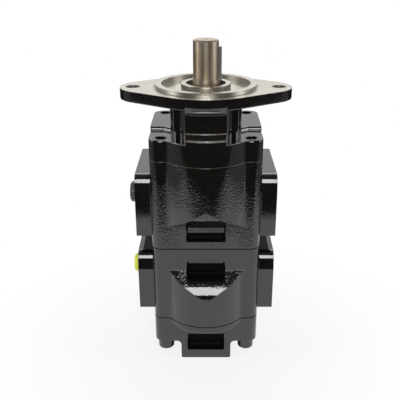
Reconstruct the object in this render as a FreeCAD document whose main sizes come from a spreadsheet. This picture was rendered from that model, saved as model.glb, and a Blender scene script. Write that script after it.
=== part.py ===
import FreeCAD, Part
import math
import os
import Sketcher

from FreeCAD import Placement, Rotation, Vector


# Driving sizes in millimetres and degrees. Levels are depths below the mounting face.
SIZES = {
    "flange_thickness": 11.2,
    "flange_disc_radius": 59,
    "flange_ear_centre": 59,
    "flange_ear_radius": 27,
    "flange_hole_spacing": 146,
    "flange_hole_radius": 7.15,
    "flange_edge_round": 1.5,
    "pilot_radius": 50.8,
    "pilot_height": 4,
    "pilot_relief_width": 1.6,
    "pilot_relief_depth": 0.6,
    "recess_radius": 44.5,
    "recess_depth": 3,
    "seal_boss_radius": 25,
    "seal_boss_bridge_width": 12,
    "seal_boss_bridge_drop": 0.8,
    "neck_radius": 36.5,
    "neck_scoop_radius": 10,
    "neck_scoop_across": 31,
    "neck_scoop_forward": 27,
    "neck_scoop_top": 14,
    "neck_pad_half_width": 20,
    "neck_pad_front": 44,
    "neck_pad_face_radius": 62,
    "neck_brow_top": 5.6,
    "neck_brow_round": 12,
    "neck_brow_foot": 18.6,
    "neck_pad_foot": 37,
    "neck_pad_waste_angle": 60,
    "bulge_shoulder_top": 43.6,
    "corner_top": 47.5,
    "deck_top": 44,
    "deck_step": 8,
    "deck_step_inset": 13,
    "deck_neck_half_width": 24,
    "deck_neck_drop": 16,
    "deck_edge_round": 3,
    "base_edge_round": 1.5,
    "bearing_dome_radius": 25,
    "bearing_dome_height": 9,
    "cover_depth": 69.8,
    "front_housing_length": 97.7,
    "rear_housing_length": 86.5,
    "rear_cover_thickness": 31,
    "foot_height": 23,
    "foot_half_width": 28,
    "foot_web_round": 5,
    "foot_edge_round": 2,
    "half_width": 57.6,
    "flat_to_axis": 30,
    "corner_radius": 10,
    "bulge_radius": 49,
    "bulge_blend_radius": 10,
    "front_bulge_straight": 47.1,
    "front_bulge_end": 71.5,
    "front_bulge_round": 20,
    "rear_bulge_straight": 32.3,
    "rear_bulge_end": 61,
    "rear_bulge_round": 22,
    "rear_cover_bulge_depth": 9,
    "rear_cover_bulge_round": 3,
    "waist_pocket_half_width": 20.5,
    "waist_pocket_height": 20.5,
    "waist_pocket_depth": 8.5,
    "front_waist_pocket_level": 68.2,
    "rear_waist_pocket_level": 52,
    "foot_pocket_height": 23.5,
    "foot_pocket_level": 19,
    "foot_pocket_depth": 9,
    "pocket_corner_round": 4,
    "pocket_floor_round": 3.5,
    "boss_reach": 74,
    "boss_front": 22,
    "boss_back": 74,
    "boss_half_height": 34,
    "boss_upright": 15,
    "boss_bend_round": 5,
    "boss_brow_round": 9.5,
    "boss_brow_setback": 2,
    "boss_edge_round": 2.5,
    "front_port_level": 52.7,
    "rear_port_level": 42,
    "port_depth": 40,
    "front_inlet_radius": 19,
    "front_inlet_pitch_y": 69.9,
    "front_inlet_pitch_z": 35.7,
    "front_inlet_thread_radius": 5.1,
    "rear_inlet_radius": 16,
    "rear_inlet_pitch_y": 58.7,
    "rear_inlet_pitch_z": 30.2,
    "rear_inlet_thread_radius": 4.25,
    "outlet_radius": 9.5,
    "outlet_pitch_y": 47.6,
    "outlet_pitch_z": 22.2,
    "outlet_thread_radius": 4.25,
    "port_thread_depth": 19,
    "inlet_passage_radius": 10,
    "outlet_passage_radius": 8,
    "passage_inner_reach": 16,
    "passage_overlap": 2,
    "inlet_passage_shift": 15,
    "outlet_passage_shift": 12.5,
    "centre_distance": 46,
    "tooth_count": 12,
    "pressure_angle": 25,
    "addendum": 3.3,
    "tip_gap": 0.9,
    "backlash": 0.12,
    "front_gear_width": 38,
    "rear_gear_width": 28,
    "gear_side_gap": 0.05,
    "chamber_gap": 0.1,
    "plate_thickness": 6,
    "plate_gap": 0.05,
    "plate_hole_gap": 0.6,
    "plate_seal_outer_radius": 24.2,
    "plate_seal_inner_radius": 21.7,
    "plate_seal_depth": 2,
    "groove_gap": 0.05,
    "journal_radius": 15,
    "journal_gap": 0.04,
    "bushing_wall": 2.5,
    "bushing_length": 26,
    "journal_end_gap": 2,
    "seal_journal_radius": 14,
    "seal_journal_top": 8,
    "shaft_radius": 12.7,
    "shaft_end": 46,
    "shaft_end_chamfer": 1.2,
    "centre_drill_radius": 2.2,
    "shaft_bore_radius": 15.5,
    "key_width": 6.35,
    "key_height": 6.35,
    "key_proud": 2.8,
    "key_length": 31.75,
    "key_from_end": 7,
    "key_gap": 0.03,
    "seal_bore_radius": 20,
    "seal_thickness": 7,
    "seal_top": 1.2,
    "seal_lip_gap": 0.05,
    "snap_ring_thickness": 1.5,
    "snap_ring_inner_radius": 17,
    "snap_ring_outer_radius": 21.2,
    "snap_ring_opening": 12,
    "spline_count": 8,
    "spline_radius": 12,
    "spline_groove_width": 4.4,
    "spline_groove_depth": 2,
    "spline_gap": 0.05,
    "spline_end_gap": 2,
    "coupling_radius": 16.5,
    "coupling_end_gap": 2,
    "section_seal_radius": 36.5,
    "section_seal_width": 2.5,
    "section_seal_depth": 2,
    "middle_seal_radius": 23,
    "bolt_half_spacing": 45.5,
    "bolt_to_axis": 20,
    "bolt_radius": 6,
    "bolt_thread_gap": 0.05,
    "bolt_hole_radius": 6.75,
    "bolt_end_depth": 5,
    "bolt_head_radius": 9,
    "bolt_head_height": 12,
    "bolt_head_round": 1.6,
    "bolt_socket_across": 10,
    "bolt_socket_depth": 6,
    "dowel_half_spacing": 45,
    "dowel_radius": 4,
    "dowel_half_length": 8,
    "plug_head_radius": 12.5,
    "plug_head_height": 10.5,
    "plug_stem_length": 14,
    "plug_gap": 0.1,
    "plug_rib_count": 12,
    "plug_rib_radius": 1.6,
    "plug_grip_radius": 7,
    "plug_grip_depth": 3,
    "cutter_overrun": 1,
    "joined_overlap": 0.5,
}


class Size:
    # A length that knows its formula in the sheet and its present value.
    def __init__(self, text, value):
        self.text = text
        self.value = value

    def joined(self, sign, other, value):
        return Size("(%s %s %s)" % (self.text, sign, other.text), value)

    def __add__(self, other):
        other = as_size(other)
        return self.joined("+", other, self.value + other.value)

    def __sub__(self, other):
        other = as_size(other)
        return self.joined("-", other, self.value - other.value)

    def __mul__(self, other):
        other = as_size(other)
        return self.joined("*", other, self.value * other.value)

    def __truediv__(self, other):
        other = as_size(other)
        return self.joined("/", other, self.value / other.value)

    def __neg__(self):
        return Size("(0 - %s)" % self.text, -self.value)


def as_size(number):
    return number if isinstance(number, Size) else Size(repr(float(number)), float(number))


class Dimensions:
    def __init__(self, sheet):
        self.sheet = sheet

    def __getattr__(self, name):
        return Size("Sizes.%s" % name, float(self.sheet.get(name)))


doc = FreeCAD.newDocument("gear_pump")
sheet = doc.addObject("Spreadsheet::Sheet", "Sizes")
for row, (alias, number) in enumerate(SIZES.items(), start=1):
    sheet.set("A%d" % row, alias.replace("_", " "))
    sheet.set("B%d" % row, str(number))
    sheet.setAlias("B%d" % row, alias)
doc.recompute()
dim = Dimensions(sheet)
nodes = []


def bind(item, prop, size):
    item.setExpression(prop, as_size(size).text)


# Sketches on a body's own planes

ROLES = {"Z": "XY_Plane", "Y": "XZ_Plane", "X": "YZ_Plane"}

# How far off its place an edge may lie and still be the one meant
EDGE_TOLERANCE = 0.05


def origin_feature(body, role):
    return next(item for item in body.Origin.OriginFeatures if item.Role == role)


def new_sketch(body, axis, level):
    sketch = body.newObject("Sketcher::SketchObject", body.Label + "_sketch")
    sketch.AttachmentSupport = [(origin_feature(body, ROLES[axis]), "")]
    sketch.MapMode = "FlatFace"
    level = as_size(level)
    bind(sketch, ".AttachmentOffset.Base.z", -level if axis == "Y" else level)
    return sketch


def measured(sketch, kind, first, second, size):
    size = as_size(size)
    index = sketch.addConstraint(Sketcher.Constraint(kind, *first, *second, size.value))
    bind(sketch, ".Constraints[%d]" % index, size)


def place_one(sketch, point, kind, size):
    axis = {"DistanceX": -2, "DistanceY": -1}[kind]
    if isinstance(size, Size):
        measured(sketch, kind, (-1, 1), point, size)
    else:
        sketch.addConstraint(Sketcher.Constraint("PointOnObject", *point, axis))


def place(sketch, point, across, along):
    place_one(sketch, point, "DistanceX", across)
    place_one(sketch, point, "DistanceY", along)


def coordinate(size):
    return size.value if isinstance(size, Size) else 0.0


def circle(sketch, across, along, radius):
    centre = Vector(coordinate(across), coordinate(along), 0)
    index = sketch.addGeometry(Part.Circle(centre, Vector(0, 0, 1), radius.value))
    place(sketch, (index, 3), across, along)
    constraint = sketch.addConstraint(Sketcher.Constraint("Radius", index, radius.value))
    bind(sketch, ".Constraints[%d]" % constraint, radius)
    return index


def outline(sketch, points):
    spots = [Vector(coordinate(across), coordinate(along), 0) for across, along in points]
    lines = []
    for number, spot in enumerate(spots):
        following = spots[(number + 1) % len(spots)]
        lines.append(sketch.addGeometry(Part.LineSegment(spot, following)))
    for number, line in enumerate(lines):
        following = lines[(number + 1) % len(lines)]
        sketch.addConstraint(Sketcher.Constraint("Coincident", line, 2, following, 1))
        place(sketch, (line, 1), *points[number])


def rectangle(sketch, left, right, low, high):
    outline(sketch, [(left, low), (right, low), (right, high), (left, high)])


def loose_arc(sketch, spot, radius, start, end):
    # An arc whose ends are given as directions in degrees from the sketch's first axis.
    whole = Part.Circle(spot, Vector(0, 0, 1), radius.value)
    index = sketch.addGeometry(Part.ArcOfCircle(whole, math.radians(start), math.radians(end)))
    constraint = sketch.addConstraint(Sketcher.Constraint("Radius", index, radius.value))
    bind(sketch, ".Constraints[%d]" % constraint, radius)
    return index


def arc(sketch, centre, radius, start, end):
    spot = Vector(coordinate(centre[0]), coordinate(centre[1]), 0)
    index = loose_arc(sketch, spot, radius, start, end)
    place(sketch, (index, 3), *centre)
    return index


def tangent_loop(sketch, arcs):
    # Straight runs join the arcs, end to start, each tangent to both.
    for number, (index, start, end) in enumerate(arcs):
        following, next_start, next_end = arcs[(number + 1) % len(arcs)]
        line = sketch.addGeometry(Part.LineSegment(end, next_start))
        sketch.addConstraint(Sketcher.Constraint("Tangent", index, 2, line, 1))
        sketch.addConstraint(Sketcher.Constraint("Tangent", line, 2, following, 1))


def round_loop(sketch, discs):
    # The taut outline round some discs, each (across, along, radius, start angle, end angle).
    arcs = []
    for across, along, radius, start, end in discs:
        index = arc(sketch, (across, along), radius, start, end)
        edge = sketch.Geometry[index]
        arcs.append((index, edge.StartPoint, edge.EndPoint))
    tangent_loop(sketch, arcs)


def rounded_box(half_width, low, high, radius):
    side = half_width - radius

    def draw(sketch):
        round_loop(sketch, [(side, low + radius, radius, 270, 360), (side, high - radius, radius, 0, 90),
                            (-side, high - radius, radius, 90, 180),
                            (-side, low + radius, radius, 180, 270)])
    return draw


def stadium(sketch, radius):
    round_loop(sketch, [(0, 0, radius, 180, 360), (0, dim.centre_distance, radius, 0, 180)])


# Solids added or cut between two levels along an axis

def new_body(name):
    body = doc.addObject("PartDesign::Body", name)
    body.Label = name
    return body


def feature(body, kind, draw, axis, low, high):
    low = as_size(low)
    high = as_size(high)
    adds = kind == "PartDesign::Pad"
    starts_low = adds if axis != "Y" else not adds
    sketch = new_sketch(body, axis, low if starts_low else high)
    draw(sketch)
    made = body.newObject(kind, body.Label + "_feature")
    made.Profile = sketch
    bind(made, "Length", high - low)
    made.Refine = True
    body.Tip = made
    doc.recompute()
    return made


def add(body, draw, axis, low, high):
    return feature(body, "PartDesign::Pad", draw, axis, low, high)


def cut(body, draw, axis, low, high):
    before = body.Shape.Volume
    made = feature(body, "PartDesign::Pocket", draw, axis, low, high)
    if not body.Shape.Volume < before - 1e-6:
        raise RuntimeError("nothing was cut from " + body.Label)
    return made


def swept(body, kind, draw, angle):
    # A feature turned about the shaft's axis, half its angle to each side of the front.
    sketch = new_sketch(body, "X", 0)
    draw(sketch)
    made = body.newObject(kind, body.Label + "_swept")
    made.Profile = sketch
    made.ReferenceAxis = (origin_feature(body, "Z_Axis"), [""])
    made.Angle = angle
    made.Midplane = True
    made.Refine = True
    body.Tip = made
    doc.recompute()
    return made


def edge_names(shape, wanted):
    return ["Edge%d" % number for number, edge in enumerate(shape.Edges, start=1) if wanted(edge)]


def soften(body, kind, size, wanted):
    base = body.Tip
    names = edge_names(base.Shape, wanted)
    if not names:
        raise RuntimeError("no edges to soften on " + body.Label)
    made = body.newObject("PartDesign::" + kind, body.Label + "_edges")
    made.Base = (base, names)
    bind(made, "Radius" if kind == "Fillet" else "Size", size)
    body.Tip = made
    doc.recompute()
    return made


def is_line_along(edge, axis):
    if edge.Curve.TypeId != "Part::GeomLine":
        return False
    return abs(edge.Curve.Direction.dot(axis)) > 0.999


def near(first, second):
    return abs(first - second) < EDGE_TOLERANCE


def vertical_edge_at(across, along):
    def wanted(edge):
        centre = edge.CenterOfMass
        if not is_line_along(edge, Vector(0, 0, 1)):
            return False
        return near(abs(centre.x), across.value) and any(near(centre.y, y.value) for y in along)
    return wanted


def finish(item, name):
    item.Label = name
    nodes.append(item)
    return item


# Levels and places that several pieces share

def levels():
    joint_one = -dim.cover_depth
    joint_two = joint_one - dim.front_housing_length
    joint_three = joint_two - dim.rear_housing_length
    corner_bottom = joint_three - dim.rear_cover_thickness
    foot_bottom = corner_bottom - dim.foot_height
    return joint_one, joint_two, joint_three, corner_bottom, foot_bottom


JOINT_ONE, JOINT_TWO, JOINT_THREE, CORNER_BOTTOM, FOOT_BOTTOM = levels()
FRONT_FLAT = -dim.flat_to_axis
REAR_FLAT = dim.centre_distance + dim.flat_to_axis
PORT_Y = dim.centre_distance / 2
BUSHING_RADIUS = dim.journal_radius + dim.journal_gap + dim.bushing_wall
PITCH_RADIUS = dim.centre_distance / 2
TIP_RADIUS = PITCH_RADIUS + dim.addendum
CHAMBER_RADIUS = TIP_RADIUS + dim.chamber_gap
PLATE_STACK = dim.plate_thickness + dim.gear_side_gap
FRONT_FLOOR = JOINT_ONE - PLATE_STACK * 2 - dim.front_gear_width
REAR_FLOOR = JOINT_THREE + PLATE_STACK * 2 + dim.rear_gear_width
FRONT_GEAR_TOP = JOINT_ONE - PLATE_STACK
REAR_GEAR_BOTTOM = JOINT_THREE + PLATE_STACK
AXES = ((0, 0), (0, dim.centre_distance))
BOLT_YS = (-dim.bolt_to_axis, dim.centre_distance + dim.bolt_to_axis)
BOLT_SPOTS = [(x, y) for y in BOLT_YS for x in (-dim.bolt_half_spacing, dim.bolt_half_spacing)]
DOWEL_SPOTS = [(x, PORT_Y) for x in (-dim.dowel_half_spacing, dim.dowel_half_spacing)]


def circles(spots, radius):
    def draw(sketch):
        for across, along in spots:
            circle(sketch, across, along, radius)
    return draw


def box_outline(left, right, low, high):
    return lambda sketch: rectangle(sketch, left, right, low, high)


def mirrored_box(half_width, low, high):
    return box_outline(-half_width, half_width, low, high)


# Features that the four castings have in common

def casting_block(body, low, high):
    add(body, mirrored_box(dim.half_width, FRONT_FLAT, REAR_FLAT), "Z", low, high)


def bulge_outline(facing):
    # A barrel round the gear, blended into the casting's flat face by a hollow round each side.
    axis, flat, side = (AXES[0], FRONT_FLAT, -1) if facing == "front" else (AXES[1], REAR_FLAT, 1)
    blend = dim.bulge_blend_radius
    drop = (dim.flat_to_axis + blend).value
    spread = math.sqrt((dim.bulge_radius + blend).value ** 2 - drop ** 2)
    lean = math.degrees(math.atan2(drop, spread))
    axis_level = coordinate(axis[1])
    right_spot = Vector(spread, axis_level + drop * side, 0)
    left_spot = Vector(-spread, axis_level + drop * side, 0)

    def draw(sketch):
        if side > 0:
            barrel = arc(sketch, axis, dim.bulge_radius, lean, 180 - lean)
            right = loose_arc(sketch, right_spot, blend, 180 + lean, 270)
            left = loose_arc(sketch, left_spot, blend, 270, 360 - lean)
            barrel_ends = ((right, 1, barrel, 1), (left, 2, barrel, 2))
            feet = ((left, 1), (right, 2))
        else:
            barrel = arc(sketch, axis, dim.bulge_radius, 180 + lean, 360 - lean)
            right = loose_arc(sketch, right_spot, blend, 90, 180 - lean)
            left = loose_arc(sketch, left_spot, blend, lean, 90)
            barrel_ends = ((right, 2, barrel, 2), (left, 1, barrel, 1))
            feet = ((left, 2), (right, 1))
        corners = [Vector(across, along, 0) for across, along in
                   ((-spread, flat.value), (-spread, axis_level),
                    (spread, axis_level), (spread, flat.value))]
        walls = [sketch.addGeometry(Part.LineSegment(first, second))
                 for first, second in zip(corners, corners[1:])]
        for ends in barrel_ends:
            sketch.addConstraint(Sketcher.Constraint("Tangent", *ends))
        for foot in feet:
            place_one(sketch, foot, "DistanceY", flat)
            sketch.addConstraint(Sketcher.Constraint("Vertical", foot[0], 3, *foot))
        for ends in ((*feet[0], walls[0], 1), (walls[0], 2, walls[1], 1),
                     (walls[1], 2, walls[2], 1), (walls[2], 2, *feet[1])):
            sketch.addConstraint(Sketcher.Constraint("Coincident", *ends))
        for wall, kind in zip(walls, ("Vertical", "Horizontal", "Vertical")):
            sketch.addConstraint(Sketcher.Constraint(kind, wall))
        place_one(sketch, (walls[1], 1), "DistanceY", axis[1])
    return draw


def casting_bulges(body, low, high):
    for facing in ("front", "rear"):
        add(body, bulge_outline(facing), "Z", low, high)


def round_waste(reach, level, radius, foot):
    # What lies outside a round that leaves the face at reach and runs on straight to its foot.
    side = 1 if reach.value > 0 else -1
    centre = (reach - radius * side, level)
    across = (foot[0] - centre[0]).value
    rise = (foot[1] - level).value
    toward = math.atan2(rise, across * side)
    lean = math.acos(radius.value / math.hypot(across, rise))
    turn = math.degrees(toward - math.copysign(lean, rise)) * side
    face = 0 if side > 0 else 180
    start, end = sorted((face, face + turn))
    outer = reach + dim.cutter_overrun * side

    def draw(sketch):
        index = arc(sketch, centre, radius, start, end)
        face_end, slope_end = (1, 2) if turn > 0 else (2, 1)
        edge = sketch.Geometry[index]
        points = [edge.EndPoint if turn > 0 else edge.StartPoint]
        points += [Vector(along.value, height.value, 0) for along, height in
                   (foot, (outer, foot[1]), (outer, level), (reach, level))]
        slope, floor, wall, lid = [sketch.addGeometry(Part.LineSegment(first, second))
                                   for first, second in zip(points, points[1:])]
        sketch.addConstraint(Sketcher.Constraint("Tangent", index, slope_end, slope, 1))
        for first, second in ((slope, floor), (floor, wall), (wall, lid)):
            sketch.addConstraint(Sketcher.Constraint("Coincident", first, 2, second, 1))
        sketch.addConstraint(Sketcher.Constraint("Coincident", lid, 2, index, face_end))
        sketch.addConstraint(Sketcher.Constraint("Horizontal", lid))
        place(sketch, (floor, 1), *foot)
        place(sketch, (wall, 1), outer, foot[1])
        place(sketch, (lid, 1), outer, level)
    return draw


def rounded_bulge_ends(body, level, end, radius):
    # Front and back, the bulge turns over in a round and slopes to the flat: a gable or a shield.
    back_reach = dim.centre_distance + dim.bulge_radius
    for reach, flat in ((-dim.bulge_radius, FRONT_FLAT), (back_reach, REAR_FLAT)):
        waste = round_waste(reach, level, radius, (flat, end))
        cut(body, waste, "X", -dim.bulge_radius, dim.bulge_radius)


def casting_corners(body):
    wanted = vertical_edge_at(dim.half_width, (FRONT_FLAT, REAR_FLAT))
    soften(body, "Fillet", dim.corner_radius, wanted)


def dowel_holes(body, low, high):
    cut(body, circles(DOWEL_SPOTS, dim.dowel_radius), "Z", low, high)


def seal_groove(body, low, high):
    def draw(sketch):
        stadium(sketch, dim.section_seal_radius + dim.groove_gap)
        stadium(sketch, dim.section_seal_radius - dim.section_seal_width - dim.groove_gap)
    cut(body, draw, "Z", low, high)


# The front cover: mounting flange, pilot, neck and the first pair of bearings

def flange_outline(sketch):
    reach = dim.flange_disc_radius.value - dim.flange_ear_radius.value
    lean = math.degrees(math.acos(reach / dim.flange_ear_centre.value))
    disc = dim.flange_disc_radius
    ear = dim.flange_ear_radius
    centre = dim.flange_ear_centre
    round_loop(sketch, [
        (centre, 0, ear, -lean, lean),
        (0, 0, disc, lean, 180 - lean),
        (-centre, 0, ear, 180 - lean, 180 + lean),
        (0, 0, disc, 180 + lean, 360 - lean),
    ])


def bowed_pad(sketch, front_reach, radius):
    # A block as wide as the pad whose front bows out to front_reach on the given radius.
    half = dim.neck_pad_half_width
    lean = math.degrees(math.asin(half.value / radius.value))
    front = arc(sketch, (0, radius - front_reach), radius, 270 - lean, 270 + lean)
    edge = sketch.Geometry[front]
    back_right = Vector(half.value, 0, 0)
    back_left = Vector(-half.value, 0, 0)
    right = sketch.addGeometry(Part.LineSegment(edge.EndPoint, back_right))
    back = sketch.addGeometry(Part.LineSegment(back_right, back_left))
    left = sketch.addGeometry(Part.LineSegment(back_left, edge.StartPoint))
    for first, second in ((front, right), (right, back), (back, left), (left, front)):
        sketch.addConstraint(Sketcher.Constraint("Coincident", first, 2, second, 1))
    for line in (left, right):
        sketch.addConstraint(Sketcher.Constraint("Vertical", line))
    sketch.addConstraint(Sketcher.Constraint("PointOnObject", back, 1, -1))
    sketch.addConstraint(Sketcher.Constraint("PointOnObject", back, 2, -1))
    measured(sketch, "DistanceX", (-1, 1), (back, 1), half)
    measured(sketch, "DistanceX", (-1, 1), (back, 2), -half)


def deck_outline(sketch):
    wide = dim.half_width
    bend = dim.half_width - dim.deck_step_inset
    neck = dim.deck_neck_half_width
    step = dim.deck_step
    front = step - dim.deck_neck_drop
    right = [(neck, FRONT_FLAT), (neck, front), (bend, step), (wide, step), (wide, REAR_FLAT)]
    left = [(-across, along) for across, along in reversed(right)]
    outline(sketch, right + left)


def shoulder(body, rim_level, face_level):
    # The base slopes up from its rim to the face of the neck's pad.
    rim = -dim.bulge_radius
    face = -dim.neck_pad_front
    add(body, lambda sketch: bowed_pad(sketch, dim.bulge_radius, dim.bulge_radius), "Z",
        -dim.corner_top, face_level)

    def waste(sketch):
        outline(sketch, [(rim - dim.cutter_overrun, rim_level), (rim, rim_level),
                         (face, face_level), (rim - dim.cutter_overrun, face_level)])
    swept(body, "PartDesign::Groove", waste, dim.neck_pad_waste_angle.value)


def brow(body):
    # Under the flange's edge the pad juts out and turns in with a large round.
    rim = -dim.flange_disc_radius
    face = -dim.neck_pad_front
    foot = -dim.neck_brow_foot
    half = dim.neck_pad_half_width.value / dim.flange_disc_radius.value
    angle = 2 * math.degrees(math.asin(half))
    block = box_outline(rim, face + dim.joined_overlap, foot, -dim.flange_thickness / 2)
    swept(body, "PartDesign::Revolution", block, angle)
    waste = round_waste(rim, -dim.neck_brow_top, dim.neck_brow_round, (face, foot))
    swept(body, "PartDesign::Groove", waste, angle)


def soften_deck(body):
    step = dim.deck_step.value
    front = step - dim.deck_neck_drop.value
    top = -dim.deck_top.value
    corner_top = -dim.corner_top.value

    def flat_at(room, level):
        return near(room.ZMin, level) and near(room.ZMax, level)

    def base_edge(edge):
        room = edge.BoundBox
        ahead = near(room.YMin, FRONT_FLAT.value) and near(room.YMax, FRONT_FLAT.value)
        return flat_at(room, corner_top) and ahead
    soften(body, "Fillet", dim.base_edge_round, base_edge)

    def step_edge(edge):
        room = edge.BoundBox
        behind_neck = room.YMin > front - EDGE_TOLERANCE
        return flat_at(room, top) and behind_neck and room.YMax < step + EDGE_TOLERANCE
    soften(body, "Fillet", dim.deck_edge_round, step_edge)


def front_cover():
    body = new_body("front_cover")
    corner_top = -dim.corner_top
    deck_top = -dim.deck_top
    under_flange = -dim.flange_thickness
    casting_block(body, JOINT_ONE, corner_top)
    add(body, deck_outline, "Z", corner_top, deck_top)
    casting_corners(body)
    soften_deck(body)
    add(body, bulge_outline("front"), "Z", JOINT_ONE, corner_top)
    add(body, bulge_outline("rear"), "Z", JOINT_ONE, deck_top)
    add(body, circles([AXES[0]], dim.neck_radius), "Z", corner_top, under_flange)

    def pad(sketch):
        bowed_pad(sketch, dim.neck_pad_front, dim.neck_pad_face_radius)

    add(body, pad, "Z", corner_top, under_flange)
    shoulder(body, -dim.bulge_shoulder_top, -dim.neck_pad_foot)
    dome_top = deck_top + dim.bearing_dome_height
    add(body, circles([AXES[1]], dim.bearing_dome_radius), "Z", deck_top, dome_top)
    add(body, flange_outline, "Z", under_flange, 0)
    soften_flange(body)
    brow(body)
    scoops = [(across, -dim.neck_scoop_forward)
              for across in (-dim.neck_scoop_across, dim.neck_scoop_across)]
    cut(body, circles(scoops, dim.neck_scoop_radius), "Z", corner_top, -dim.neck_scoop_top)
    cover_machining(body)
    return finish(body, "front_cover")


def soften_flange(body):
    level = -dim.flange_thickness.value

    def wanted(edge):
        room = edge.BoundBox
        reach = max(abs(side) for side in (room.XMin, room.XMax, room.YMin, room.YMax))
        flat = near(room.ZMin, level) and near(room.ZMax, level)
        return flat and reach > dim.neck_pad_front.value
    soften(body, "Fillet", dim.flange_edge_round, wanted)


def cover_machining(body):
    pilot_top = dim.pilot_height
    recess_floor = -dim.recess_depth
    add(body, circles([AXES[0]], dim.pilot_radius), "Z", 0, pilot_top)

    def relief(sketch):
        circle(sketch, 0, 0, dim.pilot_radius + dim.pilot_relief_width)
        circle(sketch, 0, 0, dim.pilot_radius)

    def recess(sketch):
        circle(sketch, 0, 0, dim.recess_radius)
        circle(sketch, 0, 0, dim.seal_boss_radius)
    cut(body, relief, "Z", -dim.pilot_relief_depth, 0)
    cut(body, recess, "Z", recess_floor, pilot_top)
    bridge_end = -dim.recess_radius - dim.joined_overlap
    bridge = mirrored_box(dim.seal_boss_bridge_width / 2, bridge_end, -dim.seal_bore_radius)
    add(body, bridge, "Z", recess_floor, pilot_top - dim.seal_boss_bridge_drop)
    seal_seat = -dim.seal_top - dim.snap_ring_thickness - dim.seal_thickness
    cut(body, circles([AXES[0]], dim.seal_bore_radius), "Z", seal_seat, pilot_top)
    groove = circles([AXES[0]], dim.snap_ring_outer_radius + dim.groove_gap)
    cut(body, groove, "Z", -dim.seal_top - dim.snap_ring_thickness - dim.groove_gap,
        -dim.seal_top + dim.groove_gap)
    cut(body, circles([AXES[0]], dim.shaft_bore_radius), "Z", JOINT_ONE, seal_seat)
    bearing_top = JOINT_ONE + dim.bushing_length
    cut(body, circles(AXES, BUSHING_RADIUS), "Z", JOINT_ONE, bearing_top)
    cut(body, circles([AXES[1]], dim.journal_radius), "Z", bearing_top, bearing_top + dim.journal_end_gap)
    thread = dim.bolt_radius + dim.bolt_thread_gap
    cut(body, circles(BOLT_SPOTS, thread), "Z", JOINT_ONE, -dim.deck_top)
    dowel_holes(body, JOINT_ONE, JOINT_ONE + dim.dowel_half_length)
    holes = [(across, 0) for across in (-dim.flange_hole_spacing / 2, dim.flange_hole_spacing / 2)]
    cut(body, circles(holes, dim.flange_hole_radius), "Z", -dim.flange_thickness, 0)


# The two gear housings: each holds one pair of gears and, in its waist, one pair of bearings

def boss_outline(port_z):
    # Upright in front up to a slight bend, then leaning back to the large round of the top edge.
    front = -dim.boss_front
    corner = dim.boss_edge_round
    brow = dim.boss_brow_round
    bend = dim.boss_bend_round
    low = port_z - dim.boss_half_height + corner
    high = port_z + dim.boss_half_height
    back = dim.boss_back - corner
    brow_spot = (front + dim.boss_brow_setback + brow, high - brow)
    bend_spot = (front + bend, port_z + dim.boss_upright)
    across = (brow_spot[0] - bend_spot[0]).value
    rise = (brow_spot[1] - bend_spot[1]).value
    lean = math.acos((bend - brow).value / math.hypot(across, rise))
    slope = math.degrees(math.atan2(rise, across) + lean)

    def draw(sketch):
        round_loop(sketch, [
            (front + corner, low, corner, 180, 270),
            (back, low, corner, 270, 360),
            (back, high - corner, corner, 0, 90),
            (*brow_spot, brow, 90, slope),
            (*bend_spot, bend, slope, 180),
        ])
    return draw


def port_bosses(body, port_z):
    add(body, boss_outline(port_z), "X", -dim.boss_reach, dim.boss_reach)


def face_pockets(body, top, height, depth, reach):
    # The pocket is cut in from the given reach, through what stands before the flat.
    half = dim.waist_pocket_half_width
    draw = rounded_box(half, top - height, top, dim.pocket_corner_round)
    floors = (FRONT_FLAT + depth, REAR_FLAT - depth)
    cut(body, draw, "Y", -reach, floors[0])
    cut(body, draw, "Y", floors[1], dim.centre_distance + reach)

    def floor_edge(edge):
        room = edge.BoundBox
        return any(near(room.YMin, floor.value) and near(room.YMax, floor.value) for floor in floors)
    soften(body, "Fillet", dim.pocket_floor_round, floor_edge)


def port(body, side, port_z, radius, passage_z, passage_radius):
    # A round port runs in from the boss face, and a smaller passage opens it to the gears.
    outer = dim.boss_reach
    inner = dim.boss_reach - dim.port_depth
    shelf = inner + dim.passage_overlap
    spot = [(PORT_Y, port_z)]
    gear_side = [(PORT_Y, passage_z)]
    if side == "right":
        cut(body, circles(spot, radius), "X", inner, outer)
        cut(body, circles(gear_side, passage_radius), "X", dim.passage_inner_reach, shelf)
    else:
        cut(body, circles(spot, radius), "X", -outer, -inner)
        cut(body, circles(gear_side, passage_radius), "X", -shelf, -dim.passage_inner_reach)


def port_threads(body, side, port_z, pitch_y, pitch_z, radius):
    ys = (PORT_Y - pitch_y / 2, PORT_Y + pitch_y / 2)
    zs = (port_z - pitch_z / 2, port_z + pitch_z / 2)
    draw = circles([(y, z) for y in ys for z in zs], radius)
    outer = dim.boss_reach
    inner = dim.boss_reach - dim.port_thread_depth
    if side == "right":
        cut(body, draw, "X", inner, outer)
    else:
        cut(body, draw, "X", -outer, -inner)


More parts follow.
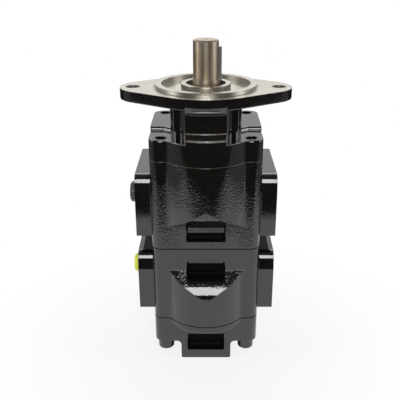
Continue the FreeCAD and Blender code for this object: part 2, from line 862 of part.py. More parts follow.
def front_housing():
    body = new_body("front_housing")
    port_z = JOINT_ONE - dim.front_port_level
    bulge_end = JOINT_ONE - dim.front_bulge_end
    casting_block(body, JOINT_TWO, JOINT_ONE)
    casting_corners(body)
    casting_bulges(body, bulge_end, JOINT_ONE)
    rounded_bulge_ends(body, JOINT_ONE - dim.front_bulge_straight, bulge_end, dim.front_bulge_round)
    face_pockets(body, JOINT_ONE - dim.front_waist_pocket_level, dim.waist_pocket_height,
                 dim.waist_pocket_depth, dim.bulge_radius)
    port_bosses(body, port_z)
    cut(body, circles([AXES[0]], CHAMBER_RADIUS), "Z", FRONT_FLOOR, JOINT_ONE)
    cut(body, circles([AXES[1]], CHAMBER_RADIUS), "Z", FRONT_FLOOR, JOINT_ONE)
    bearing_low = FRONT_FLOOR - dim.bushing_length
    cut(body, circles([AXES[0]], BUSHING_RADIUS), "Z", JOINT_TWO, FRONT_FLOOR)
    cut(body, circles([AXES[1]], BUSHING_RADIUS), "Z", bearing_low, FRONT_FLOOR)
    cut(body, circles([AXES[1]], dim.journal_radius), "Z", bearing_low - dim.journal_end_gap, bearing_low)
    port(body, "right", port_z, dim.front_inlet_radius,
         port_z + dim.inlet_passage_shift, dim.inlet_passage_radius)
    port(body, "left", port_z, dim.outlet_radius,
         port_z + dim.outlet_passage_shift, dim.outlet_passage_radius)
    port_threads(body, "right", port_z, dim.front_inlet_pitch_y, dim.front_inlet_pitch_z,
                 dim.front_inlet_thread_radius)
    port_threads(body, "left", port_z, dim.outlet_pitch_y, dim.outlet_pitch_z, dim.outlet_thread_radius)
    seal_groove(body, JOINT_ONE - dim.section_seal_depth, JOINT_ONE)
    cut(body, circles(BOLT_SPOTS, dim.bolt_hole_radius), "Z", JOINT_TWO, JOINT_ONE)
    dowel_holes(body, JOINT_ONE - dim.dowel_half_length, JOINT_ONE)
    dowel_holes(body, JOINT_TWO, JOINT_TWO + dim.dowel_half_length)
    return finish(body, "front_housing")


def middle_seal_groove(body):
    def draw(sketch):
        circle(sketch, 0, 0, dim.middle_seal_radius + dim.groove_gap)
        circle(sketch, 0, 0, dim.middle_seal_radius - dim.section_seal_width - dim.groove_gap)
    cut(body, draw, "Z", JOINT_TWO - dim.section_seal_depth, JOINT_TWO)


def rear_housing():
    body = new_body("rear_housing")
    port_z = JOINT_THREE + dim.rear_port_level
    bulge_end = JOINT_THREE + dim.rear_bulge_end
    casting_block(body, JOINT_THREE, JOINT_TWO)
    casting_corners(body)
    casting_bulges(body, JOINT_THREE, bulge_end)
    rounded_bulge_ends(body, JOINT_THREE + dim.rear_bulge_straight, bulge_end, dim.rear_bulge_round)
    pocket_top = JOINT_THREE + dim.rear_waist_pocket_level + dim.waist_pocket_height
    face_pockets(body, pocket_top, dim.waist_pocket_height, dim.waist_pocket_depth, dim.bulge_radius)
    port_bosses(body, port_z)
    cut(body, circles([AXES[0]], CHAMBER_RADIUS), "Z", JOINT_THREE, REAR_FLOOR)
    cut(body, circles([AXES[1]], CHAMBER_RADIUS), "Z", JOINT_THREE, REAR_FLOOR)
    bearing_high = REAR_FLOOR + dim.bushing_length
    cut(body, circles([AXES[0]], BUSHING_RADIUS), "Z", REAR_FLOOR, JOINT_TWO)
    cut(body, circles([AXES[1]], BUSHING_RADIUS), "Z", REAR_FLOOR, bearing_high)
    cut(body, circles([AXES[1]], dim.journal_radius), "Z", bearing_high, bearing_high + dim.journal_end_gap)
    port(body, "right", port_z, dim.rear_inlet_radius,
         port_z - dim.inlet_passage_shift, dim.inlet_passage_radius)
    port(body, "left", port_z, dim.outlet_radius,
         port_z - dim.outlet_passage_shift, dim.outlet_passage_radius)
    port_threads(body, "right", port_z, dim.rear_inlet_pitch_y, dim.rear_inlet_pitch_z,
                 dim.rear_inlet_thread_radius)
    port_threads(body, "left", port_z, dim.outlet_pitch_y, dim.outlet_pitch_z, dim.outlet_thread_radius)
    seal_groove(body, JOINT_THREE, JOINT_THREE + dim.section_seal_depth)
    middle_seal_groove(body)
    cut(body, circles(BOLT_SPOTS, dim.bolt_hole_radius), "Z", JOINT_THREE, JOINT_TWO)
    dowel_holes(body, JOINT_THREE, JOINT_THREE + dim.dowel_half_length)
    dowel_holes(body, JOINT_TWO - dim.dowel_half_length, JOINT_TWO)
    return finish(body, "rear_housing")


# The rear cover: blind bearings and the foot that the pump stands on

def rear_cover():
    body = new_body("rear_cover")
    casting_block(body, CORNER_BOTTOM, JOINT_THREE)
    foot = mirrored_box(dim.foot_half_width, FRONT_FLAT, REAR_FLAT)
    add(body, foot, "Z", FOOT_BOTTOM, CORNER_BOTTOM)
    casting_corners(body)

    def web(edge):
        centre = edge.CenterOfMass
        along = is_line_along(edge, Vector(0, 1, 0)) and near(centre.z, CORNER_BOTTOM.value)
        return along and near(abs(centre.x), dim.foot_half_width.value)
    soften(body, "Fillet", dim.foot_web_round, web)

    def foot_edge(edge):
        centre = edge.CenterOfMass
        return is_line_along(edge, Vector(0, 1, 0)) and near(centre.z, FOOT_BOTTOM.value)
    soften(body, "Fillet", dim.foot_edge_round, foot_edge)
    bulge_low = JOINT_THREE - dim.rear_cover_bulge_depth
    for spot in AXES:
        add(body, circles([spot], dim.bulge_radius), "Z", bulge_low, JOINT_THREE)

    def bulge_edge(edge):
        flat = near(edge.BoundBox.ZMin, bulge_low.value) and near(edge.BoundBox.ZMax, bulge_low.value)
        return flat and edge.Curve.TypeId == "Part::GeomCircle"
    soften(body, "Fillet", dim.rear_cover_bulge_round, bulge_edge)
    casting_bulges(body, bulge_low + dim.rear_cover_bulge_round, JOINT_THREE)
    face_pockets(body, JOINT_THREE - dim.foot_pocket_level, dim.foot_pocket_height,
                 dim.foot_pocket_depth, -FRONT_FLAT)
    cut(body, circles(AXES, BUSHING_RADIUS), "Z", JOINT_THREE - dim.bushing_length, JOINT_THREE)
    cut(body, circles(AXES, dim.journal_radius), "Z",
        JOINT_THREE - dim.bushing_length - dim.journal_end_gap, JOINT_THREE - dim.bushing_length)
    cut(body, circles(BOLT_SPOTS, dim.bolt_hole_radius), "Z", CORNER_BOTTOM, JOINT_THREE)
    dowel_holes(body, JOINT_THREE - dim.dowel_half_length, JOINT_THREE)
    return finish(body, "rear_cover")


# Plain turned and cut pieces

def cylinder(name, radius, low, high, across=0, along=0):
    item = doc.addObject("Part::Cylinder", name)
    bind(item, "Radius", radius)
    bind(item, "Height", as_size(high) - as_size(low))
    bind(item, ".Placement.Base.x", across)
    bind(item, ".Placement.Base.y", along)
    bind(item, ".Placement.Base.z", low)
    return item


def block(name, left, right, near_side, far_side, low, high):
    item = doc.addObject("Part::Box", name)
    bind(item, "Length", as_size(right) - as_size(left))
    bind(item, "Width", as_size(far_side) - as_size(near_side))
    bind(item, "Height", as_size(high) - as_size(low))
    bind(item, ".Placement.Base.x", left)
    bind(item, ".Placement.Base.y", near_side)
    bind(item, ".Placement.Base.z", low)
    return item


def fused(name, items):
    item = doc.addObject("Part::MultiFuse", name)
    item.Shapes = items
    return item


def removed(name, base, tool):
    item = doc.addObject("Part::Cut", name)
    item.Base = base
    item.Tool = tool
    return item


def ring(name, inner, outer, low, high, along=0):
    wall = cylinder(name + "_wall", outer, low, high, 0, along)
    hole = cylinder(name + "_hole", inner, low, high, 0, along)
    return removed(name, wall, hole)


def bushings():
    inner = dim.journal_radius + dim.journal_gap
    places = {
        "front_cover": JOINT_ONE,
        "front_housing": FRONT_FLOOR - dim.bushing_length,
        "rear_housing": REAR_FLOOR,
        "rear_cover": JOINT_THREE - dim.bushing_length,
    }
    for casting, low in places.items():
        for role, (across, along) in zip(("drive", "driven"), AXES):
            name = "%s_%s_bushing" % (casting, role)
            finish(ring(name, inner, BUSHING_RADIUS, low, low + dim.bushing_length, along), name)


def twin_discs(name, radius, low, high):
    discs = [cylinder("%s_disc" % name, radius, low, high, across, along) for across, along in AXES]
    return fused(name, discs)


def seal_band(name, gap, low, high):
    outer = twin_discs(name + "_outer", dim.plate_seal_outer_radius + gap, low, high)
    inner = twin_discs(name + "_inner", dim.plate_seal_inner_radius - gap, low, high)
    return removed(name, outer, inner)


def thrust_plates():
    # Each plate's pressure seal lies in its back, the side away from the gears.
    places = {
        "front_upper": (JOINT_ONE - dim.plate_thickness, "high"),
        "front_lower": (FRONT_FLOOR, "low"),
        "rear_upper": (REAR_FLOOR - dim.plate_thickness, "high"),
        "rear_lower": (JOINT_THREE, "low"),
    }
    for place_name, (low, back) in places.items():
        name = place_name + "_thrust_plate"
        high = low + dim.plate_thickness
        seal_low = high - dim.plate_seal_depth if back == "high" else low
        seal_high = seal_low + dim.plate_seal_depth
        blank = twin_discs(name + "_blank", CHAMBER_RADIUS - dim.plate_gap, low, high)
        holes = twin_discs(name + "_holes", dim.journal_radius + dim.plate_hole_gap, low, high)
        groove = seal_band(name + "_groove", dim.groove_gap, seal_low, seal_high)
        drilled = removed(name + "_drilled", blank, holes)
        finish(removed(name, drilled, groove), name)
        seal_name = place_name + "_plate_seal"
        finish(seal_band(seal_name, as_size(0), seal_low, seal_high), seal_name)


def stadium_solid(name, radius, low, high):
    sides = block(name + "_middle", -radius, radius, 0, dim.centre_distance, low, high)
    ends = [cylinder(name + "_end", radius, low, high, across, along) for across, along in AXES]
    return fused(name, [sides] + ends)


def section_seals():
    outer = dim.section_seal_radius
    inner = dim.section_seal_radius - dim.section_seal_width
    for place_name, low in (("front", JOINT_ONE - dim.section_seal_depth), ("rear", JOINT_THREE)):
        name = place_name + "_section_seal"
        high = low + dim.section_seal_depth
        finish(removed(name, stadium_solid(name + "_outer", outer, low, high),
                       stadium_solid(name + "_inner", inner, low, high)), name)
    middle = dim.middle_seal_radius
    finish(ring("middle_section_seal", middle - dim.section_seal_width, middle,
                JOINT_TWO - dim.section_seal_depth, JOINT_TWO), "middle_section_seal")


def compound(name, items):
    item = doc.addObject("Part::Compound", name)
    item.Links = items
    return finish(item, name)


def dowels():
    for place_name, level in (("front", JOINT_ONE), ("middle", JOINT_TWO), ("rear", JOINT_THREE)):
        name = place_name + "_dowels"
        low = level - dim.dowel_half_length
        high = level + dim.dowel_half_length
        pins = [cylinder(name + "_pin", dim.dowel_radius, low, high, x, y) for x, y in DOWEL_SPOTS]
        compound(name, pins)


def hexagon_prism(name, across_flats, low, high, across, along):
    item = doc.addObject("Part::Prism", name)
    item.Polygon = 6
    bind(item, "Circumradius", across_flats / math.sqrt(3))
    bind(item, "Height", high - low)
    bind(item, ".Placement.Base.x", across)
    bind(item, ".Placement.Base.y", along)
    bind(item, ".Placement.Base.z", low)
    return item


def tie_bolts():
    # Socket-head bolts run up from the rear cover and thread into the front cover.
    bolts = []
    top = -dim.corner_top - dim.bolt_end_depth
    head_low = CORNER_BOTTOM - dim.bolt_head_height
    for across, along in BOLT_SPOTS:
        shank = cylinder("bolt_shank", dim.bolt_radius, CORNER_BOTTOM, top, across, along)
        head = cylinder("bolt_head", dim.bolt_head_radius, head_low, CORNER_BOTTOM, across, along)
        doc.recompute()
        rounded = doc.addObject("Part::Fillet", "bolt_head_rounded")
        rounded.Base = head
        radius = dim.bolt_head_round.value
        rim = [number for number, edge in enumerate(head.Shape.Edges, start=1)
               if near(edge.BoundBox.ZMax, head_low.value)]
        rounded.Edges = [(number, radius, radius) for number in rim]
        socket = hexagon_prism("bolt_socket", dim.bolt_socket_across, head_low,
                               head_low + dim.bolt_socket_depth, across, along)
        bolts.append(removed("tie_bolt", fused("bolt_blank", [shank, rounded]), socket))
    compound("tie_bolts", bolts)


# Gears: twelve involute teeth on each of the four gears

def involute_point(base_radius, radius, turn):
    angle = math.sqrt((radius / base_radius) ** 2 - 1)
    polar = turn + angle - math.atan(angle)
    return Vector(radius * math.cos(polar), radius * math.sin(polar), 0)


def gear_face(first_tooth):
    # One closed outline: root arc, radial foot, involute flank, tip arc and back, tooth by tooth.
    teeth = int(dim.tooth_count.value)
    pitch = PITCH_RADIUS.value
    tip = TIP_RADIUS.value
    root = dim.centre_distance.value - tip - dim.tip_gap.value
    pressure = math.radians(dim.pressure_angle.value)
    base = pitch * math.cos(pressure)
    half_tooth = math.pi / (2 * teeth) - dim.backlash.value / (2 * pitch)
    half_base = half_tooth + math.tan(pressure) - pressure
    steps = 5
    crowding = 1.5
    radii = [base + (tip - base) * (step / (steps - 1)) ** crowding for step in range(steps)]
    edges = []
    last_root = None
    first_root = None
    for tooth in range(teeth):
        middle = first_tooth + 2 * math.pi * tooth / teeth
        flank = [involute_point(base, radius, 0) for radius in radii]
        rising = [turned(point, middle - half_base) for point in flank]
        falling = [turned(Vector(point.x, -point.y, 0), middle + half_base) for point in flank]
        foot_up = rising[0] * (root / base)
        foot_down = falling[0] * (root / base)
        tip_middle = Vector(tip * math.cos(middle), tip * math.sin(middle), 0)
        if last_root is not None:
            edges.append(root_arc(last_root, foot_up, root))
        else:
            first_root = foot_up
        edges.append(Part.LineSegment(foot_up, rising[0]).toShape())
        edges.append(spline(rising))
        edges.append(Part.Arc(rising[-1], tip_middle, falling[-1]).toShape())
        edges.append(spline(list(reversed(falling))))
        edges.append(Part.LineSegment(falling[0], foot_down).toShape())
        last_root = foot_down
    edges.append(root_arc(last_root, first_root, root))
    return Part.Face(Part.Wire(edges))


def turned(point, angle):
    return Rotation(Vector(0, 0, 1), math.degrees(angle)).multVec(point)


def spline(points):
    curve = Part.BSplineCurve()
    curve.interpolate(points)
    return curve.toShape()


def root_arc(start, end, radius):
    middle = (start + end) * 0.5
    middle.normalize()
    return Part.Arc(start, middle * radius, end).toShape()


def gear_rim(name, low, width, across, along, first_tooth):
    rim = doc.addObject("Part::Feature", name)
    rim.Shape = gear_face(first_tooth).extrude(Vector(0, 0, width.value))
    rim.Placement = Placement(Vector(coordinate(across), coordinate(along), low.value), Rotation())
    return rim


# A tooth of each drive gear points at its partner, which has a gap there.
DRIVE_TOOTH = math.pi / 2
DRIVEN_TOOTH = -math.pi / 2 + math.pi / dim.tooth_count.value


def driven_gear(name, gear_low, width, top, bottom):
    journal = cylinder(name + "_journals", dim.journal_radius, bottom, top, 0, dim.centre_distance)
    rim = gear_rim(name + "_rim", gear_low, width, 0, dim.centre_distance, DRIVEN_TOOTH)
    return finish(fused(name, [rim, journal]), name)


def shaft_profile(steps):
    # Half the lengthwise section of a stepped shaft, from (radius, low, high) steps, top first.
    points = [(0, steps[0][2])]
    for radius, low, high in steps:
        points.append((radius, high))
        points.append((radius, low))
    points.append((0, steps[-1][1]))
    return points


def turned_body(name, points):
    body = new_body(name)
    sketch = new_sketch(body, "Y", 0)
    outline(sketch, points)
    made = body.newObject("PartDesign::Revolution", name + "_turned")
    made.Profile = sketch
    made.ReferenceAxis = (origin_feature(body, "Z_Axis"), [""])
    made.Angle = 360
    body.Tip = made
    doc.recompute()
    return body


def spline_grooves(body, low, high):
    half = dim.spline_groove_width / 2
    inner = dim.spline_radius - dim.spline_groove_depth
    outer = dim.spline_radius + dim.cutter_overrun
    made = cut(body, box_outline(inner, outer, -half, half), "Z", low, high)
    repeat_round(body, made)


def repeat_round(body, made):
    pattern = body.newObject("PartDesign::PolarPattern", body.Label + "_splines")
    pattern.Originals = [made]
    pattern.Axis = (origin_feature(body, "Z_Axis"), [""])
    pattern.Angle = 360
    bind(pattern, "Occurrences", dim.spline_count)
    body.Tip = pattern
    doc.recompute()


def drive_shaft():
    shoulder = JOINT_ONE + dim.bushing_length
    low_journal = FRONT_FLOOR - dim.bushing_length
    spline_low = JOINT_TWO + dim.spline_end_gap
    end = dim.shaft_end
    chamfer = dim.shaft_end_chamfer
    points = [(0, end - dim.centre_drill_radius), (dim.centre_drill_radius, end),
              (dim.shaft_radius - chamfer, end), (dim.shaft_radius, end - chamfer)]
    steps = [
        (dim.shaft_radius, dim.seal_journal_top, end),
        (dim.seal_journal_radius, shoulder, dim.seal_journal_top),
        (dim.journal_radius, low_journal, shoulder),
        (dim.spline_radius, spline_low, low_journal),
    ]
    points += shaft_profile(steps)[2:]
    body = turned_body("drive_shaft_blank", points)
    spline_grooves(body, spline_low, low_journal)
    key_high = end - dim.key_from_end + dim.key_gap
    key_low = key_high - dim.key_length - dim.key_gap * 2
    half = dim.key_width / 2 + dim.key_gap
    floor = dim.shaft_radius + dim.key_proud - dim.key_height
    outer = dim.seal_journal_radius + dim.cutter_overrun
    cut(body, box_outline(floor, outer, -half, half), "Z", key_low, key_high)
    gear_low = FRONT_GEAR_TOP - dim.front_gear_width
    rim = gear_rim("drive_shaft_rim", gear_low, dim.front_gear_width, 0, 0, DRIVE_TOOTH)
    return finish(fused("drive_shaft", [rim, body]), "drive_shaft")


def shaft_key():
    high = dim.shaft_end - dim.key_from_end
    outer = dim.shaft_radius + dim.key_proud
    half = dim.key_width / 2
    return finish(block("shaft_key", outer - dim.key_height, outer, -half, half,
                        high - dim.key_length, high), "shaft_key")


def rear_drive_gear():
    high_journal = REAR_FLOOR + dim.bushing_length
    spline_high = JOINT_TWO - dim.spline_end_gap
    bottom = JOINT_THREE - dim.bushing_length
    steps = [
        (dim.spline_radius, high_journal, spline_high),
        (dim.journal_radius, bottom, high_journal),
    ]
    body = turned_body("rear_drive_gear_blank", shaft_profile(steps))
    spline_grooves(body, high_journal, spline_high)
    rim = gear_rim("rear_drive_gear_rim", REAR_GEAR_BOTTOM, dim.rear_gear_width, 0, 0, DRIVE_TOOTH)
    return finish(fused("rear_drive_gear", [rim, body]), "rear_drive_gear")


def coupling_sleeve():
    body = new_body("coupling_sleeve")
    low = REAR_FLOOR + dim.bushing_length + dim.coupling_end_gap
    high = FRONT_FLOOR - dim.bushing_length - dim.coupling_end_gap
    bore = dim.spline_radius + dim.spline_gap

    def wall(sketch):
        circle(sketch, 0, 0, dim.coupling_radius)
        circle(sketch, 0, 0, bore)
    add(body, wall, "Z", low, high)
    half = dim.spline_groove_width / 2 - dim.spline_gap
    inner = dim.spline_radius - dim.spline_groove_depth + dim.spline_gap
    tooth = add(body, box_outline(inner, bore + dim.joined_overlap, -half, half), "Z", low, high)
    repeat_round(body, tooth)
    return finish(body, "coupling_sleeve")


# Shaft seal, its retaining ring and the two transit plugs

def shaft_seal():
    high = -dim.seal_top - dim.snap_ring_thickness
    seal = ring("shaft_seal", dim.seal_journal_radius + dim.seal_lip_gap, dim.seal_bore_radius,
                high - dim.seal_thickness, high)
    return finish(seal, "shaft_seal")


def seal_snap_ring():
    high = -dim.seal_top
    low = high - dim.snap_ring_thickness
    whole = ring("snap_ring_whole", dim.snap_ring_inner_radius, dim.snap_ring_outer_radius, low, high)
    half = dim.snap_ring_opening / 2
    far = dim.snap_ring_outer_radius + dim.cutter_overrun
    gap = block("snap_ring_gap", -half, half, 0, far, low, high)
    return finish(removed("seal_snap_ring", whole, gap), "seal_snap_ring")


def port_plug(name, port_z, ribbed):
    # A push-in plug: a stem in the port and a flat head on the boss face.
    face = -dim.boss_reach
    body = new_body(name)
    stem = dim.outlet_radius - dim.plug_gap
    add(body, circles([(PORT_Y, port_z)], stem), "X", face, face + dim.plug_stem_length)
    add(body, circles([(PORT_Y, port_z)], dim.plug_head_radius), "X", face - dim.plug_head_height, face)
    cut(body, circles([(PORT_Y, port_z)], dim.plug_grip_radius), "X",
        face - dim.plug_head_height, face - dim.plug_head_height + dim.plug_grip_depth)
    if ribbed:
        count = int(dim.plug_rib_count.value)
        spots = []
        for number in range(count):
            angle = 2 * math.pi * number / count
            reach = dim.plug_head_radius + dim.plug_rib_radius / 2
            spots.append((PORT_Y + reach * math.cos(angle), port_z + reach * math.sin(angle)))
        cut(body, circles(spots, dim.plug_rib_radius), "X", face - dim.plug_head_height, face)
    return finish(body, name)


def build():
    front_cover()
    front_housing()
    rear_housing()
    rear_cover()
    drive_shaft()
    shaft_key()
    driven_gear("front_driven_gear", FRONT_GEAR_TOP - dim.front_gear_width, dim.front_gear_width,
                JOINT_ONE + dim.bushing_length, FRONT_FLOOR - dim.bushing_length)
    coupling_sleeve()
    rear_drive_gear()
    driven_gear("rear_driven_gear", REAR_GEAR_BOTTOM, dim.rear_gear_width,
                REAR_FLOOR + dim.bushing_length, JOINT_THREE - dim.bushing_length)
    bushings()
    thrust_plates()
    section_seals()
    shaft_seal()
    seal_snap_ring()
    tie_bolts()
    dowels()
    port_plug("front_port_plug", JOINT_ONE - dim.front_port_level, True)
    port_plug("rear_port_plug", JOINT_THREE + dim.rear_port_level, False)


def check_and_write():
    doc.recompute()
    for item in doc.Objects:
        if "Invalid" in item.State or "Error" in item.State:
            raise RuntimeError("%s (%s) failed: %s" % (item.Label, item.Name, item.State))
    os.makedirs("parts", exist_ok=True)
    for item in nodes:
        if item.Shape.isNull() or not item.Shape.isValid():
            raise RuntimeError(item.Label + " has no valid shape")
        item.Shape.exportStep("parts/%s.step" % item.Label)
        print("%-32s %2d solids %10.1f mm3" % (item.Label, len(item.Shape.Solids), item.Shape.Volume))


build()
check_and_write()
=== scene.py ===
import math

import bmesh
import bpy
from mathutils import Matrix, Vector


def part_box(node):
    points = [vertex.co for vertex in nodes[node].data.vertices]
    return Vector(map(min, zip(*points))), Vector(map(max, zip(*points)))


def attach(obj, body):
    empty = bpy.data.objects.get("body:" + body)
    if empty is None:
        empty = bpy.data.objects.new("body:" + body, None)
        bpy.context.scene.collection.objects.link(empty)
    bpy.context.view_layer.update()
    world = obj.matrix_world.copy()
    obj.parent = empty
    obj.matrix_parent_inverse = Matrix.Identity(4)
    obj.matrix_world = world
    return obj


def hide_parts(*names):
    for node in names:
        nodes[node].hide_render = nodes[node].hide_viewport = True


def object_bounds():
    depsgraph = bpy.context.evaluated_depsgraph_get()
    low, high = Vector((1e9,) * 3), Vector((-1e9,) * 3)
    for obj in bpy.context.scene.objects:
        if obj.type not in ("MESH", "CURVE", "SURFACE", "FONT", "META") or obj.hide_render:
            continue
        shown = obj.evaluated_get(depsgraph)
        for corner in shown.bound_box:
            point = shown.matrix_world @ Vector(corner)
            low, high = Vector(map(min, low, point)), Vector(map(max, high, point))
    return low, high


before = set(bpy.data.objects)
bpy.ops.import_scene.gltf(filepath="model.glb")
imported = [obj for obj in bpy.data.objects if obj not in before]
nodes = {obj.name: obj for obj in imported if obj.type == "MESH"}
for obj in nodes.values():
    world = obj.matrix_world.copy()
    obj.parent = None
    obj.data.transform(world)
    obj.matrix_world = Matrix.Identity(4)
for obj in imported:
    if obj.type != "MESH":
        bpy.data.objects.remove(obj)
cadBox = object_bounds()
millimetre = 0.001
print("frame loaded with", len(nodes), "nodes")


# Nodes and colours

def linearColour(hexText):
    values = [int(hexText[i:i + 2], 16) / 255 for i in (1, 3, 5)]
    bright = [v / 12.92 if v <= 0.04045 else ((v + 0.055) / 1.055) ** 2.4 for v in values]
    return (*bright, 1)


def addNode(tree, kind, settings=None, links=None):
    node = tree.nodes.new(kind)
    for name, value in (settings or {}).items():
        if isinstance(name, str) and hasattr(node, name):
            setattr(node, name, value)
        else:
            node.inputs[name].default_value = value
    for name, source in (links or {}).items():
        tree.links.new(source, node.inputs[name])
    return node


def newMaterial(name):
    material = bpy.data.materials.new(name)
    material.use_nodes = True
    material.node_tree.nodes.clear()
    return material, material.node_tree


def finishMaterial(tree, shader):
    addNode(tree, "ShaderNodeOutputMaterial", links={"Surface": shader.outputs[0]})


def dress(material, names):
    for name in names:
        slots = nodes[name].material_slots
        if not slots:
            nodes[name].data.materials.append(material)
        for slot in slots:
            slot.link = "OBJECT"
            slot.material = material


# Camera: 590 mm in front of the shaft, 126.5 mm above the mounting face

cameraSettings = {"place": (0, -0.590, 0.1265), "down": 22.95, "lens": 53.352, "shift": -0.0148}


def addCamera(settings):
    data = bpy.data.cameras.new("camera")
    data.lens = settings["lens"]
    data.sensor_width = 36
    data.shift_x = settings["shift"]
    camera = bpy.data.objects.new("camera", data)
    camera.location = settings["place"]
    camera.rotation_euler = (math.radians(90 - settings["down"]), 0, 0)
    bpy.context.scene.collection.objects.link(camera)
    bpy.context.scene.camera = camera


# Stage: a pale sheet on a table, a white surrounding and soft lamps, in metres and watts

stageSettings = {
    "floorLevel": cadBox[0].z,
    "sheetHalfWidth": 3.0,
    "sheetMiddle": 0.023,
    "sheetColour": "#e9e8e6",
    "brightReach": (0.41, 0.45),      # how far the sheet stays bright in reflections, front and back
    "brightAcross": (0.45, 0.55),     # the same to the left and right
    "reflectedDark": 0.03,
    "sideLevel": 0.2,                 # what is left of it beyond, on the left and right
    "shadowShare": 0.2,
    "shadowReach": (0.10, 0.30),      # the shadow fades out this far from the foot
    # brightness of the surrounding against the sine of the elevation, before and behind the pump
    "frontLevels": ((-1, 0.03), (0.1, 0.04), (0.5, 0.05), (0.7, 0.08), (0.9, 0.08), (1, 0.12)),
    "backLevels": ((-1, 0.05), (0.02, 0.14), (0.16, 0.75), (0.36, 1.0), (0.5, 0.9), (0.8, 0.5), (1, 0.4)),
    "turnToBack": (-0.3, 0.3),        # where the front's levels go over into the back's
    "lamps": {
        "front": {"place": (0.0, -1.59, 0.826), "size": (0.62, 1.33), "power": 22.0},
        "left": {"place": (-1.1, -0.25, 0.20), "size": (0.35, 0.7), "power": 4.5},
        "right": {"place": (1.1, -0.20, 0.20), "size": (0.35, 0.7), "power": 4.5},
        "back": {"place": (0.0, 1.0, 0.7), "size": (1.2, 0.5), "power": 4.0},
    },
    "aim": (0, 0.02, -0.13),
}


def sheetBrightness(tree, place, settings):
    # What a reflection sees of the sheet: bright round the pump, darker further out
    split = addNode(tree, "ShaderNodeSeparateXYZ", links={0: place.outputs["Object"]})
    fades = []
    for axis, middle, band, rest in (
            ("Y", settings["sheetMiddle"], settings["brightReach"], 0.0),
            ("X", 0, settings["brightAcross"], settings["sideLevel"])):
        shifted = addNode(tree, "ShaderNodeMath", {"operation": "SUBTRACT", 1: middle},
                          {0: split.outputs[axis]})
        away = addNode(tree, "ShaderNodeMath", {"operation": "ABSOLUTE"}, {0: shifted.outputs[0]})
        fades.append(addNode(tree, "ShaderNodeMapRange",
                             {"interpolation_type": "SMOOTHSTEP", 1: band[0], 2: band[1],
                              3: 1.0, 4: rest}, {0: away.outputs[0]}))
    both = addNode(tree, "ShaderNodeMath", {"operation": "MULTIPLY"},
                   {0: fades[0].outputs[0], 1: fades[1].outputs[0]})
    return addNode(tree, "ShaderNodeMapRange", {3: settings["reflectedDark"], 4: 1.0},
                   {0: both.outputs[0]})


def addSheet(settings):
    bpy.ops.object.select_all(action="DESELECT")
    bpy.ops.mesh.primitive_plane_add(size=2 * settings["sheetHalfWidth"],
                                     location=(0, 0, settings["floorLevel"]))
    sheet = bpy.context.object
    sheet.name = "table_sheet"
    material, tree = newMaterial("pale_table_sheet")
    path = addNode(tree, "ShaderNodeLightPath")
    place = addNode(tree, "ShaderNodeTexCoord")
    level = sheetBrightness(tree, place, settings)
    seen = addNode(tree, "ShaderNodeMath", {"operation": "MAXIMUM"},
                   {0: level.outputs[0], 1: path.outputs["Is Camera Ray"]})
    glow = addNode(tree, "ShaderNodeEmission", {0: (1, 1, 1, 1)}, {1: seen.outputs[0]})
    paper = addNode(tree, "ShaderNodeBsdfDiffuse", {0: linearColour(settings["sheetColour"])})
    # The camera sees white with a share of the lit paper, which keeps the pump's shadow at its foot.
    fromFoot = addNode(tree, "ShaderNodeVectorMath", {"operation": "LENGTH"},
                       {0: place.outputs["Object"]})
    clear = addNode(tree, "ShaderNodeMapRange",
                    {"interpolation_type": "SMOOTHSTEP", 1: settings["shadowReach"][0],
                     2: settings["shadowReach"][1], 3: 1 - settings["shadowShare"], 4: 1.0},
                    {0: fromFoot.outputs["Value"]})
    shown = addNode(tree, "ShaderNodeMath", {"operation": "MULTIPLY"},
                    {0: clear.outputs[0], 1: path.outputs["Is Camera Ray"]})
    mirrored = addNode(tree, "ShaderNodeMath", {"operation": "MAXIMUM"},
                       {0: path.outputs["Is Glossy Ray"], 1: path.outputs["Is Transmission Ray"]})
    share = addNode(tree, "ShaderNodeMath", {"operation": "MAXIMUM"},
                    {0: shown.outputs[0], 1: mirrored.outputs[0]})
    mix = addNode(tree, "ShaderNodeMixShader",
                  links={0: share.outputs[0], 1: paper.outputs[0], 2: glow.outputs[0]})
    finishMaterial(tree, mix)
    sheet.data.materials.append(material)


def addSurrounding(settings):
    world = bpy.data.worlds.new("studio")
    bpy.context.scene.world = world
    world.use_nodes = True
    tree = world.node_tree
    tree.nodes.clear()
    path = addNode(tree, "ShaderNodeLightPath")
    direction = addNode(tree, "ShaderNodeTexCoord")
    split = addNode(tree, "ShaderNodeSeparateXYZ", links={0: direction.outputs["Generated"]})
    height = addNode(tree, "ShaderNodeMapRange", {1: -1, 2: 1}, {0: split.outputs["Z"]})
    sides = []
    for levels in (settings["frontLevels"], settings["backLevels"]):
        ramp = addNode(tree, "ShaderNodeValToRGB", links={0: height.outputs[0]})
        for number, (sine, level) in enumerate(levels):
            steps = ramp.color_ramp.elements
            step = steps[number] if number < 2 else steps.new((sine + 1) / 2)
            step.position = (sine + 1) / 2
            step.color = (level, level, level, 1)
        sides.append(ramp)
    start, end = settings["turnToBack"]
    behind = addNode(tree, "ShaderNodeMapRange",
                     {"interpolation_type": "SMOOTHSTEP", 1: start, 2: end}, {0: split.outputs["Y"]})
    around = addNode(tree, "ShaderNodeMix", {"data_type": "RGBA"},
                     {0: behind.outputs[0], 6: sides[0].outputs[0], 7: sides[1].outputs[0]})
    seen = addNode(tree, "ShaderNodeMath", {"operation": "MAXIMUM"},
                   {0: around.outputs[2], 1: path.outputs["Is Camera Ray"]})
    white = addNode(tree, "ShaderNodeBackground", {0: (1, 1, 1, 1)}, {1: seen.outputs[0]})
    addNode(tree, "ShaderNodeOutputWorld", links={0: white.outputs[0]})


